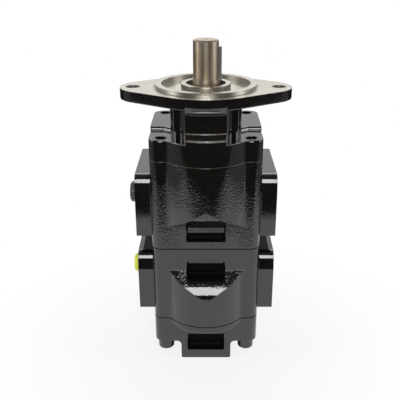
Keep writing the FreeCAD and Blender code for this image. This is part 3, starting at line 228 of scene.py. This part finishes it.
def addLamps(settings):
    for name, lamp in settings["lamps"].items():
        data = bpy.data.lights.new(name + "_softbox", "AREA")
        data.shape = "RECTANGLE"
        data.size, data.size_y = lamp["size"]
        data.energy = lamp["power"]
        light = bpy.data.objects.new(name + "_softbox", data)
        light.location = lamp["place"]
        aim = Vector(settings["aim"]) - Vector(lamp["place"])
        light.rotation_euler = aim.to_track_quat("-Z", "Y").to_euler()
        bpy.context.scene.collection.objects.link(light)


addCamera(cameraSettings)
addSheet(stageSettings)
addSurrounding(stageSettings)
addLamps(stageSettings)
bpy.context.scene.view_settings.view_transform = "Standard"
print("camera and stage made")


# Gloss black enamel sprayed on sand-cast iron: dark, with a wet sheen that the sand's grain breaks up

castPaint = {
    "colour": "#0b0a09",
    "thinColour": "#14110f",
    "roughness": 0.06,
    "ior": 1.72,
    "grainSize": 1.6,               # sand grain, drawn about three times as coarse so that it shows
    "grainDepth": 0.18,
    "nibSize": 2.0,                 # orange peel where the enamel lies over coarse sand
    "nibDepth": 0.2,
    "pitSize": 5.0,
    "pitDepth": 0.03,
    "patchSize": 32.0,              # how far apart the smooth and the grainy patches lie
    "patchRange": (0.38, 0.62),
    "patchGrain": (0.35, 1.0),
    "grainAcross": 58.5,            # the port bosses beyond this are smooth
    "edgeRadius": 0.8,
    "seamShadowReach": 0.5,               # half the height of the painted shadow line in the gap at a joint
    # painted shadow: the dark line stands for the shade in the gap at a joint
    "seamShadowColour": "#040404",
    "chipReach": 0.4,               # half the height of the bare edge left at the cover's joint
    "chipColour": "#4a463e",
    "pocketShadeRoughness": 0.6,
    "pocketShadeIor": 1.15,                 # painted shade: the enamel in the pockets gets next to no sheen, so that they read dark
    # middles and half sizes of the pockets that get this painted shade
    "pocketShadePlaces": (((0, -34, -142.5), (21, 14.3, 3.4)),
                  ((0, -34, -155.5), (21, 14.3, 3.7)),
                  ((0, -34, -196.5), (21, 14.3, 7.6)),
                  ((0, -34, -289.5), (21, 14.3, 7.8))),
    # each casting comes from its own mould, with coarser or finer sand
    "coarseness": {"front_cover": 0.25, "front_housing": 0.8, "rear_housing": 0.55,
                   "rear_cover": 0.25, "tie_bolts": 1.0},
}

# Turned iron on the cover, machined after painting: pale, with fine rings that spread the light
turnedFace = {
    "colour": "#b4b0a7",
    "roughness": 0.34,
    "pitch": 0.7,                   # the tool's feed, drawn about three times as coarse as it is
    "depth": 0.01,
    # radius and floor of what is bare: the mounting face, the pilot with its recess, the seal bore
    "zones": ((200, -0.15), (52.5, -3.2), (21.5, -100)),
    "holePlace": 73.0,              # the two bolt holes of the flange
    "holeReach": 7.6,
}


def levelBand(tree, level, middle, reach):
    # 1 within reach of a level, 0 elsewhere, both in millimetres
    away = addNode(tree, "ShaderNodeMath", {"operation": "SUBTRACT", 1: middle * millimetre},
                   {0: level})
    far = addNode(tree, "ShaderNodeMath", {"operation": "ABSOLUTE"}, {0: away.outputs[0]})
    return addNode(tree, "ShaderNodeMath", {"operation": "LESS_THAN", 1: reach * millimetre},
                   {0: far.outputs[0]}).outputs[0]


def enamelRelief(tree, place, split, look, coarseness):
    # Rounded edges, shallow pits, sand grain and orange peel, the last two in patches on the barrels
    noises = {}
    for layer, detail in (("grain", 1), ("pit", 2), ("patch", 1)):
        noises[layer] = addNode(tree, "ShaderNodeTexNoise",
                                {"Scale": 1 / (look[layer + "Size"] * millimetre), "Detail": detail},
                                {"Vector": place.outputs["Object"]}).outputs[0]
    edge = addNode(tree, "ShaderNodeBevel", {"samples": 4, 0: look["edgeRadius"] * millimetre})
    broad = addNode(tree, "ShaderNodeBump",
                    {"Strength": coarseness, "Distance": look["pitDepth"] * millimetre},
                    {"Height": noises["pit"], "Normal": edge.outputs[0]})
    (low, high), (least, most) = look["patchRange"], look["patchGrain"]
    patches = addNode(tree, "ShaderNodeMapRange",
                      {1: low, 2: high, 3: least * coarseness, 4: most * coarseness},
                      {0: noises["patch"]})
    strength = addNode(tree, "ShaderNodeMath", {"operation": "MULTIPLY"},
                       {0: patches.outputs[0],
                        1: levelBand(tree, split.outputs["X"], 0, look["grainAcross"])})
    sand = addNode(tree, "ShaderNodeBump", {"Distance": look["grainDepth"] * millimetre},
                   {"Strength": strength.outputs[0], "Height": noises["grain"],
                    "Normal": broad.outputs[0]})
    nibs = addNode(tree, "ShaderNodeTexVoronoi", {"Scale": 1 / (look["nibSize"] * millimetre)},
                   {"Vector": place.outputs["Object"]})
    peel = addNode(tree, "ShaderNodeBump", {"Distance": look["nibDepth"] * millimetre},
                   {"Strength": strength.outputs[0], "Height": nibs.outputs["Distance"],
                    "Normal": sand.outputs[0]})
    return edge, noises["pit"], peel


def drawLines(tree, surface, split, levels, reach, colour):
    # A matt line round the castings at each level: the painted shadow in the gaps at the housings'
    # joints, and the bare edge at the cover's joint
    for level in levels:
        line = addNode(tree, "ShaderNodeBsdfDiffuse", {0: linearColour(colour)})
        surface = addNode(tree, "ShaderNodeMixShader",
                          links={0: levelBand(tree, split.outputs["Z"], level, reach),
                                 1: surface.outputs[0], 2: line.outputs[0]})
    return surface


def paintPocketShade(tree, surface, split, look):
    # Painted shade: a dull, barely reflecting enamel in the pockets, so that they read dark
    shadedEnamel = addNode(tree, "ShaderNodeBsdfPrincipled",
                  {"Roughness": look["pocketShadeRoughness"], "IOR": look["pocketShadeIor"],
                   "Base Color": linearColour(look["colour"])})
    for middle, reach in look["pocketShadePlaces"]:
        inside = None
        for axis, spot, half in zip("XYZ", middle, reach):
            band = levelBand(tree, split.outputs[axis], spot, half)
            inside = band if inside is None else addNode(
                tree, "ShaderNodeMath", {"operation": "MULTIPLY"}, {0: inside, 1: band}).outputs[0]
        surface = addNode(tree, "ShaderNodeMixShader",
                          links={0: inside, 1: surface.outputs[0], 2: shadedEnamel.outputs[0]})
    return surface


def machinedPlaces(tree, place, split, away, look):
    # 1 where the cover is turned or drilled bare, 0 on the enamel
    zones = []
    for reach, floor in look["zones"]:
        inside = addNode(tree, "ShaderNodeMath", {"operation": "LESS_THAN", 1: reach * millimetre},
                         {0: away.outputs["Value"]})
        above = addNode(tree, "ShaderNodeMath", {"operation": "GREATER_THAN", 1: floor * millimetre},
                        {0: split.outputs["Z"]})
        zones.append(addNode(tree, "ShaderNodeMath", {"operation": "MULTIPLY"},
                             {0: inside.outputs[0], 1: above.outputs[0]}))
    folded = addNode(tree, "ShaderNodeVectorMath", {"operation": "ABSOLUTE"},
                     {0: place.outputs["Object"]})
    flat = addNode(tree, "ShaderNodeVectorMath", {"operation": "MULTIPLY", 1: (1, 1, 0)},
                   {0: folded.outputs[0]})
    hole = addNode(tree, "ShaderNodeVectorMath",
                   {"operation": "DISTANCE", 1: (look["holePlace"] * millimetre, 0, 0)},
                   {0: flat.outputs[0]})
    zones.append(addNode(tree, "ShaderNodeMath",
                         {"operation": "LESS_THAN", 1: look["holeReach"] * millimetre},
                         {0: hole.outputs["Value"]}))
    mask = zones[0]
    for zone in zones[1:]:
        mask = addNode(tree, "ShaderNodeMath", {"operation": "MAXIMUM"},
                       {0: mask.outputs[0], 1: zone.outputs[0]})
    return mask


def turnBare(tree, surface, place, split, edge, look):
    flat = addNode(tree, "ShaderNodeVectorMath", {"operation": "MULTIPLY", 1: (1, 1, 0)},
                   {0: place.outputs["Object"]})
    away = addNode(tree, "ShaderNodeVectorMath", {"operation": "LENGTH"}, {0: flat.outputs[0]})
    turns = addNode(tree, "ShaderNodeMath", {"operation": "DIVIDE", 1: look["pitch"] * millimetre},
                    {0: away.outputs["Value"]})
    rings = addNode(tree, "ShaderNodeTexNoise",
                    {"noise_dimensions": "1D", "Scale": 1.0, "Detail": 2}, {"W": turns.outputs[0]})
    turned = addNode(tree, "ShaderNodeBump",
                     {"Strength": 1.0, "Distance": look["depth"] * millimetre},
                     {"Height": rings.outputs[0], "Normal": edge.outputs[0]})
    bare = addNode(tree, "ShaderNodeBsdfPrincipled",
                   {"Base Color": linearColour(look["colour"]), "Metallic": 1.0,
                    "Roughness": look["roughness"]}, {"Normal": turned.outputs[0]})
    mask = machinedPlaces(tree, place, split, away, look)
    return addNode(tree, "ShaderNodeMixShader",
                   links={0: mask.outputs[0], 1: surface.outputs[0], 2: bare.outputs[0]})


def castIronMaterial(name, node, machined=None, seamShadows=(), chips=()):
    look = castPaint
    material, tree = newMaterial(name)
    place = addNode(tree, "ShaderNodeTexCoord")
    split = addNode(tree, "ShaderNodeSeparateXYZ", links={0: place.outputs["Object"]})
    edge, pits, peel = enamelRelief(tree, place, split, look, look["coarseness"][node])
    tone = addNode(tree, "ShaderNodeMix",
                   {"data_type": "RGBA", 6: linearColour(look["colour"]),
                    7: linearColour(look["thinColour"])}, {0: pits})
    surface = addNode(tree, "ShaderNodeBsdfPrincipled",
                      {"Roughness": look["roughness"], "IOR": look["ior"]},
                      {"Base Color": tone.outputs[2], "Normal": peel.outputs[0]})
    surface = drawLines(tree, surface, split, seamShadows, look["seamShadowReach"], look["seamShadowColour"])
    surface = drawLines(tree, surface, split, chips, look["chipReach"], look["chipColour"])
    # painted shade in the pockets
    surface = paintPocketShade(tree, surface, split, look)
    if machined:
        surface = turnBare(tree, surface, place, split, edge, machined)
    finishMaterial(tree, surface)
    return material


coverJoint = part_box("front_housing")[1].z / millimetre
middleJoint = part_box("rear_housing")[1].z / millimetre
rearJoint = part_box("rear_housing")[0].z / millimetre
dress(castIronMaterial("sprayed_enamel_and_turned_iron", "front_cover", turnedFace,
                       chips=[coverJoint]), ["front_cover"])
# painted shadow lines at the two joints between the housings
for casting in ("front_housing", "rear_housing", "rear_cover"):
    dress(castIronMaterial(casting + "_sprayed_enamel", casting, seamShadows=[middleJoint, rearJoint]),
          [casting])
print("castings painted")


# Ground carbon steel: fine lengthwise streaks, brown lengthwise bands in its colour that are a painted
# reflection, and a soft silky shine

groundSteel = {
    "colour": "#a89d8c", "reflectionBand": "#8c6c4c",
    "reflectionBandRange": (0.34, 0.48),
    "roughness": 0.42,
    "roughnessSpread": (-0.06, 0.1),
    "streakSize": 1.4,              # wheel marks, drawn far coarser than they are so that they show; they also place the painted reflection bands
    "streakStretch": 0.02,
    "streakDepth": 0.004,
}
# Cold-drawn key steel: greyer than the shaft and a little sharper in its shine, with the same painted
# reflection bands in a grey-brown
drawnSteel = dict(groundSteel, colour="#77756f", reflectionBand="#5f5a52", roughness=0.36)


def groundSteelMaterial(name, look):
    material, tree = newMaterial(name)
    place = addNode(tree, "ShaderNodeTexCoord")
    stretched = addNode(tree, "ShaderNodeMapping", {"Scale": (1, 1, look["streakStretch"])},
                        {"Vector": place.outputs["Object"]})
    streaks = addNode(tree, "ShaderNodeTexNoise",
                      {"Scale": 1 / (look["streakSize"] * millimetre), "Detail": 2},
                      {"Vector": stretched.outputs[0]})
    # painted reflection: the lengthwise streaks switch the colour between the steel's tone and a brown
    # band
    tone = addNode(tree, "ShaderNodeValToRGB", links={0: streaks.outputs[0]})
    for step, colour, position in zip(tone.color_ramp.elements, ("reflectionBand", "colour"),
                                      look["reflectionBandRange"]):
        step.color = linearColour(look[colour])
        step.position = position
    smoother, rougher = look["roughnessSpread"]
    rough = addNode(tree, "ShaderNodeMapRange",
                    {3: look["roughness"] + smoother, 4: look["roughness"] + rougher},
                    {0: streaks.outputs[0]})
    bump = addNode(tree, "ShaderNodeBump",
                   {"Strength": 1.0, "Distance": look["streakDepth"] * millimetre},
                   {"Height": streaks.outputs[0]})
    steel = addNode(tree, "ShaderNodeBsdfPrincipled", {"Metallic": 1.0},
                    {"Base Color": tone.outputs[0], "Roughness": rough.outputs[0],
                     "Normal": bump.outputs[0]})
    finishMaterial(tree, steel)
    return material


dress(groundSteelMaterial("ground_carbon_steel", groundSteel),
      ["drive_shaft", "front_driven_gear", "rear_drive_gear", "rear_driven_gear", "coupling_sleeve"])
dress(groundSteelMaterial("cold_drawn_key_steel", drawnSteel), ["shaft_key"])
print("steel dressed")


# The small parts, with the size of their grain in millimetres, drawn coarse enough to show

smallPartLooks = {
    # a dull waxy skin without highlights
    "moulded_grey_polyethylene": {"colour": "#4a4a4a", "roughness": 0.45, "metallic": 0.0,
                                  "grain": 1.2, "nodes": ["front_port_plug"]},
    # a waxy skin, bright and pale against the black castings
    "moulded_yellow_polyethylene": {"colour": "#dde04e", "roughness": 0.38, "metallic": 0.0,
                                    "grain": 1.2, "nodes": ["rear_port_plug"]},
    # soft black that takes up nearly all light
    "moulded_nitrile_rubber": {"colour": "#171615", "roughness": 0.55, "metallic": 0.0,
                               "grain": 0.8,
                               "nodes": ["shaft_seal"] + [node for node in nodes if node.endswith(
                                   ("plate_seal", "section_seal"))]},
    # warm brown metal with a soft shine
    "turned_bearing_bronze": {"colour": "#a5794a", "roughness": 0.38, "metallic": 1.0, "grain": 0.9,
                              "nodes": [node for node in nodes if node.endswith(
                                  ("bushing", "thrust_plate"))]},
    # the brightest of the steels, nearly mirror-like
    "ground_dowel_steel": {"colour": "#8f8e8a", "roughness": 0.28, "metallic": 1.0, "grain": 0.7,
                           "nodes": [node for node in nodes if node.endswith("dowels")]},
    # dark grey metal with a narrow glint
    "blackened_spring_steel": {"colour": "#5b5a58", "roughness": 0.35, "metallic": 1.0,
                               "grain": 0.6, "nodes": ["seal_snap_ring"]},
}
smallPartSkin = {"grainDepth": 0.02, "roughnessSpread": (-0.05, 0.08)}


def smallPartMaterial(name, look, skin):
    material, tree = newMaterial(name)
    place = addNode(tree, "ShaderNodeTexCoord")
    grain = addNode(tree, "ShaderNodeTexNoise",
                    {"Scale": 1 / (look["grain"] * millimetre), "Detail": 2},
                    {"Vector": place.outputs["Object"]})
    bump = addNode(tree, "ShaderNodeBump",
                   {"Strength": 1.0, "Distance": skin["grainDepth"] * millimetre},
                   {"Height": grain.outputs[0]})
    smoother, rougher = skin["roughnessSpread"]
    rough = addNode(tree, "ShaderNodeMapRange",
                    {3: look["roughness"] + smoother, 4: look["roughness"] + rougher},
                    {0: grain.outputs[0]})
    surface = addNode(tree, "ShaderNodeBsdfPrincipled",
                      {"Base Color": linearColour(look["colour"]), "Metallic": look["metallic"]},
                      {"Roughness": rough.outputs[0], "Normal": bump.outputs[0]})
    finishMaterial(tree, surface)
    return material


smallPartMaterials = {}
for name, look in smallPartLooks.items():
    smallPartMaterials[name] = smallPartMaterial(name, look, smallPartSkin)
    dress(smallPartMaterials[name], look["nodes"])
dress(castIronMaterial("bolt_sprayed_enamel", "tie_bolts"), ["tie_bolts"])
print("small parts dressed")


# Tools for the new pieces

doublesReach = 0.002 * millimetre


def startPiece(name, kind, **place):
    # Adds a primitive at its size and place, alone selected, and opens it in edit mode.
    bpy.ops.object.select_all(action="DESELECT")
    getattr(bpy.ops.mesh, "primitive_%s_add" % kind)(**place)
    bpy.context.object.name = name
    bpy.ops.object.transform_apply(location=True, rotation=True, scale=True)
    bpy.ops.object.mode_set(mode="EDIT")
    bpy.ops.mesh.select_mode(type="VERT")
    bpy.ops.mesh.select_all(action="SELECT")
    return bpy.context.object


def pickFaces(wanted):
    # Selects the faces that a test of middle and normal picks.
    bpy.ops.mesh.select_mode(type="FACE")
    bpy.ops.mesh.select_all(action="DESELECT")
    shape = bmesh.from_edit_mesh(bpy.context.object.data)
    for face in shape.faces:
        face.select_set(wanted(face.calc_center_median(), face.normal))
    shape.select_flush_mode()
    bmesh.update_edit_mesh(bpy.context.object.data)


def pushFaces(distance, direction):
    bpy.ops.mesh.extrude_region_move(
        TRANSFORM_OT_translate={"value": tuple(Vector(direction) * distance * millimetre)})


def swellFaces(distance):
    bpy.ops.mesh.extrude_region_shrink_fatten(
        TRANSFORM_OT_shrink_fatten={"value": distance * millimetre})


def closePiece(piece, roundness=0.0, angle=35):
    # Merges doubles, turns the faces outwards, rounds the sharp edges and smooths the rest.
    bpy.ops.mesh.select_all(action="SELECT")
    bpy.ops.mesh.remove_doubles(threshold=doublesReach)
    bpy.ops.mesh.normals_make_consistent(inside=False)
    bpy.ops.object.mode_set(mode="OBJECT")
    if roundness:
        bevel = piece.modifiers.new("edges", "BEVEL")
        bevel.width = roundness * millimetre
        bevel.segments = 3
        bevel.limit_method = "ANGLE"
        bevel.angle_limit = math.radians(angle)
        bpy.ops.object.modifier_apply(modifier=bevel.name)
    bpy.ops.object.shade_smooth_by_angle(angle=math.radians(angle))


# Beads along the cover's raw edges and across the neck's front, in a lighter and more strongly reflecting
# enamel than the faces: painted highlight lines

beadSettings = {
    "sharpAngle": 28, "radius": 0.42, "sides": 2, "smoothAngle": 60,
    "levels": (-66.0, -12.0),
    # half width, reach along Y and top of the bores, whose edges have no bead
    "boreArea": (40, (-27, 73), -40),
    "backLimit": 60,                # nor has what lies beyond this at the back
    # painted highlight: a grey lighter than the black enamel, with the raised ior below
    "colour": "#57534c",
    "roughness": (0.15, 0.45),
    "ior": 2.0,
    "beadRoughnessPatchSize": 4.0,
    # radius, middle, level and half width of the highlight beads across the neck's front
    "runs": ((58.1, 0, -6.2, 18.0), (58.0, 0, -11.7, 14.0),
             (62.2, 17.8, -37.0, 19.0), (48.9, 0, -42.6, 19.0)),
    "neckBeadRadius": 0.8,
    "neckBeadCorners": 360,
}


def isRawEdge(spot, settings):
    across, along, level = abs(spot.x) / millimetre, spot.y / millimetre, spot.z / millimetre
    halfWidth, (front, back), top = settings["boreArea"]
    inBore = across < halfWidth and front < along < back and level < top
    return not inBore and along <= settings["backLimit"]


def drawnOut(piece, settings, radius):
    # Edges become a round bead.
    bpy.ops.object.convert(target="CURVE")
    piece.data.bevel_depth = radius * millimetre
    piece.data.bevel_resolution = settings["sides"]
    piece.data.use_fill_caps = True
    bpy.ops.object.convert(target="MESH")
    bpy.ops.object.shade_smooth_by_angle(angle=math.radians(settings["smoothAngle"]))
    return piece


def addBeads(node, settings):
    # The beads run along the sharp edges of a merged copy of the casting, between two levels.
    source = nodes[node]
    piece = source.copy()
    piece.data = source.data.copy()
    piece.name = node + "_edge_highlight_beads"
    piece.data.materials.clear()
    bpy.context.scene.collection.objects.link(piece)
    bpy.ops.object.select_all(action="DESELECT")
    piece.select_set(True)
    bpy.context.view_layer.objects.active = piece
    bpy.ops.object.mode_set(mode="EDIT")
    bpy.ops.mesh.select_all(action="SELECT")
    bpy.ops.mesh.remove_doubles(threshold=doublesReach)
    bpy.ops.mesh.select_mode(type="EDGE")
    bpy.ops.mesh.select_all(action="DESELECT")
    bpy.ops.mesh.edges_select_sharp(sharpness=math.radians(settings["sharpAngle"]))
    shape = bmesh.from_edit_mesh(piece.data)
    low, high = [level * millimetre for level in settings["levels"]]
    for edge in shape.edges:
        if edge.select:
            spots = [corner.co for corner in edge.verts]
            between = all(low < spot.z < high for spot in spots)
            edge.select_set(between and isRawEdge((spots[0] + spots[1]) / 2, settings))
    bmesh.update_edit_mesh(piece.data)
    bpy.ops.mesh.select_all(action="INVERT")
    bpy.ops.mesh.delete(type="EDGE")
    bpy.ops.object.mode_set(mode="OBJECT")
    return drawnOut(piece, settings, settings["radius"])


def addNeckHighlightBead(name, run, settings):
    # An arc of bead across the neck's front, cut from a full circle, that carries a painted highlight
    # line
    radius, middle, level, half = [size * millimetre for size in run]
    piece = startPiece(name, "circle", vertices=settings["neckBeadCorners"], radius=radius,
                       location=(0, middle, level))
    bpy.ops.mesh.select_all(action="DESELECT")
    shape = bmesh.from_edit_mesh(piece.data)
    for corner in shape.verts:
        corner.select_set(abs(corner.co.x) > half or corner.co.y > middle)
    bmesh.update_edit_mesh(piece.data)
    bpy.ops.mesh.delete(type="VERT")
    bpy.ops.object.mode_set(mode="OBJECT")
    return drawnOut(piece, settings, settings["neckBeadRadius"])


def beadHighlightMaterial(name, look):
    # Painted highlight: the beads get a grey lighter than the enamel and a stronger reflectance, so that
    # they show as bright lines
    material, tree = newMaterial(name)
    place = addNode(tree, "ShaderNodeTexCoord")
    noise = addNode(tree, "ShaderNodeTexNoise",
                    {"Scale": 1 / (look["beadRoughnessPatchSize"] * millimetre), "Detail": 2},
                    {"Vector": place.outputs["Object"]})
    sheen = addNode(tree, "ShaderNodeMapRange", {3: look["roughness"][0], 4: look["roughness"][1]},
                    {0: noise.outputs[0]})
    shader = addNode(tree, "ShaderNodeBsdfPrincipled",
                     {"Base Color": linearColour(look["colour"]), "IOR": look["ior"]},
                     {"Roughness": sheen.outputs[0]})
    finishMaterial(tree, shader)
    return material


beadHighlight = beadHighlightMaterial("enamel_edge_painted_highlight", beadSettings)
edgeBeads = [addBeads("front_cover", beadSettings)]
edgeBeads += [addNeckHighlightBead("neck_highlight_bead_%d" % number, run, beadSettings)
              for number, run in enumerate(beadSettings["runs"])]
for beads in edgeBeads:
    beads.data.materials.append(beadHighlight)
    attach(beads, "pump_casing")
    print(beads.name, len(beads.data.polygons), "faces")


# Transit plugs: ribbed heads with a collar, a hollow with a gate mark and a stepped sealing stem

plugSettings = {
    "face": -74.0, "middleY": 23.0, "collar": 1.8, "rim": 1.2, "wall": 2.6, "hollow": 6.5,
    "gateRadius": 1.4, "gateHeight": 0.9, "stemLength": 13.8, "stemSteps": 3, "stemTaper": 0.25,
    "edgeRound": 0.25,
    "plugs": {
        "grey_transit_plug": {
            "node": "front_port_plug", "material": "moulded_grey_polyethylene",
            "slot": "grey_plastic", "headRadius": 11.3, "coreRadius": 9.3, "headHeight": 9.6,
            "sides": 24, "ribHeight": 2.0},
        "yellow_transit_plug": {
            "node": "rear_port_plug", "material": "moulded_yellow_polyethylene",
            "slot": "yellow_plastic", "headRadius": 10.4, "coreRadius": 9.1, "headHeight": 8.8,
            "sides": 20, "ribHeight": 1.3}},
}


def addPlug(name, settings):
    low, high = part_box(settings["node"])
    face = settings["face"] * millimetre
    tip = face - settings["headHeight"] * millimetre
    slack = 0.01 * millimetre
    middle = Vector((0, settings["middleY"] * millimetre, (low.z + high.z) / 2))
    plug = startPiece(name, "cylinder", vertices=settings["sides"],
                      radius=settings["coreRadius"] * millimetre, depth=face - tip,
                      location=middle + Vector(((face + tip) / 2, 0, 0)),
                      rotation=(0, math.pi / 2, 0))
    collarEdge = face - settings["collar"] * millimetre
    rimEdge = tip + settings["rim"] * millimetre
    for across in (collarEdge, rimEdge):
        bpy.ops.mesh.select_all(action="SELECT")
        bpy.ops.mesh.bisect(plane_co=(across, 0, 0), plane_no=(1, 0, 0))
    turnStep = 2 * math.pi / settings["sides"]

    def isRib(spot, normal):
        # every second side between rim and collar
        turn = round(math.atan2(spot.z - middle.z, spot.y - middle.y) / turnStep - 0.5)
        return abs(normal.x) < 0.5 and rimEdge < spot.x < collarEdge and turn % 2 == 0

    pickFaces(isRib)
    swellFaces(settings["ribHeight"])
    pickFaces(lambda spot, normal: abs(normal.x) < 0.5 and spot.x > collarEdge)
    swellFaces(settings["headRadius"] - settings["coreRadius"])
    pickFaces(lambda spot, normal: normal.x < -0.5 and spot.x < tip + slack)
    bpy.ops.mesh.inset(thickness=settings["wall"] * millimetre)
    pushFaces(settings["hollow"], (1, 0, 0))
    bpy.ops.mesh.inset(thickness=(settings["coreRadius"] - settings["wall"]
                                  - settings["gateRadius"]) * millimetre)
    pushFaces(settings["gateHeight"], (-1, 0, 0))

    def isStemEnd(spot, normal):
        # the core's own end face, inside the collar's ring
        fromMiddle = math.hypot(spot.y - middle.y, spot.z - middle.z)
        return (normal.x > 0.5 and spot.x > face - slack
                and fromMiddle < settings["coreRadius"] * millimetre / 2)

    pickFaces(isStemEnd)
    for step in range(settings["stemSteps"]):
        pushFaces(settings["stemLength"] / settings["stemSteps"], (1, 0, 0))
        bpy.ops.mesh.inset(thickness=settings["stemTaper"] * millimetre)
    closePiece(plug, settings["edgeRound"])
    plug.data.materials.append(smallPartMaterials[settings["material"]])
    return plug


for name, own in plugSettings["plugs"].items():
    plug = addPlug(name, {**plugSettings, **own})
    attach(plug, "pump_casing")
    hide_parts(own["node"])
print("transit plugs modelled")


# Shaft seal: a rubber-covered case with a dust lip and a main lip, and its garter spring

sealSettings = {
    # radius and height round the section
    "profile": ((20.0, -3.3), (19.5, -2.75), (18.2, -2.75), (17.8, -3.9), (16.2, -4.3),
                (15.3, -3.2), (14.5, -2.8), (14.06, -3.3), (14.9, -4.6), (15.0, -6.6),
                (14.06, -8.0), (14.5, -9.2), (15.9, -9.3), (16.3, -6.2), (18.6, -6.0),
                (18.8, -9.7), (19.6, -9.7), (20.0, -9.3)),
    "corners": 96, "smoothAngle": 50,
    "garterRadius": 16.75, "garterLevel": -7.5, "garterWire": 0.42, "garterSides": 10,
}


def addSeal(name, settings):
    # The section's outline is carried from point to point as a growing and shrinking circle.
    profile = settings["profile"]
    radius, height = profile[0]
    seal = startPiece(name, "circle", vertices=settings["corners"], radius=radius * millimetre,
                      location=(0, 0, height * millimetre))
    for nextRadius, nextHeight in profile[1:] + profile[:1]:
        pushFaces(nextHeight - height, (0, 0, 1))
        growth = nextRadius / radius
        bpy.ops.transform.resize(value=(growth, growth, 1), center_override=(0, 0, 0))
        radius, height = nextRadius, nextHeight
    closePiece(seal, angle=settings["smoothAngle"])
    seal.data.materials.append(smallPartMaterials["moulded_nitrile_rubber"])
    return seal


def addGarter(name, settings):
    garter = startPiece(name, "torus", major_segments=settings["corners"],
                        minor_segments=settings["garterSides"],
                        major_radius=settings["garterRadius"] * millimetre,
                        minor_radius=settings["garterWire"] * millimetre,
                        location=(0, 0, settings["garterLevel"] * millimetre))
    closePiece(garter)
    garter.data.materials.append(smallPartMaterials["blackened_spring_steel"])
    return garter


seal = addSeal("lip_seal", sealSettings)
garter = addGarter("garter_spring", sealSettings)
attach(seal, "pump_casing")
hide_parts("shaft_seal")
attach(garter, "pump_casing")
print("shaft seal modelled")
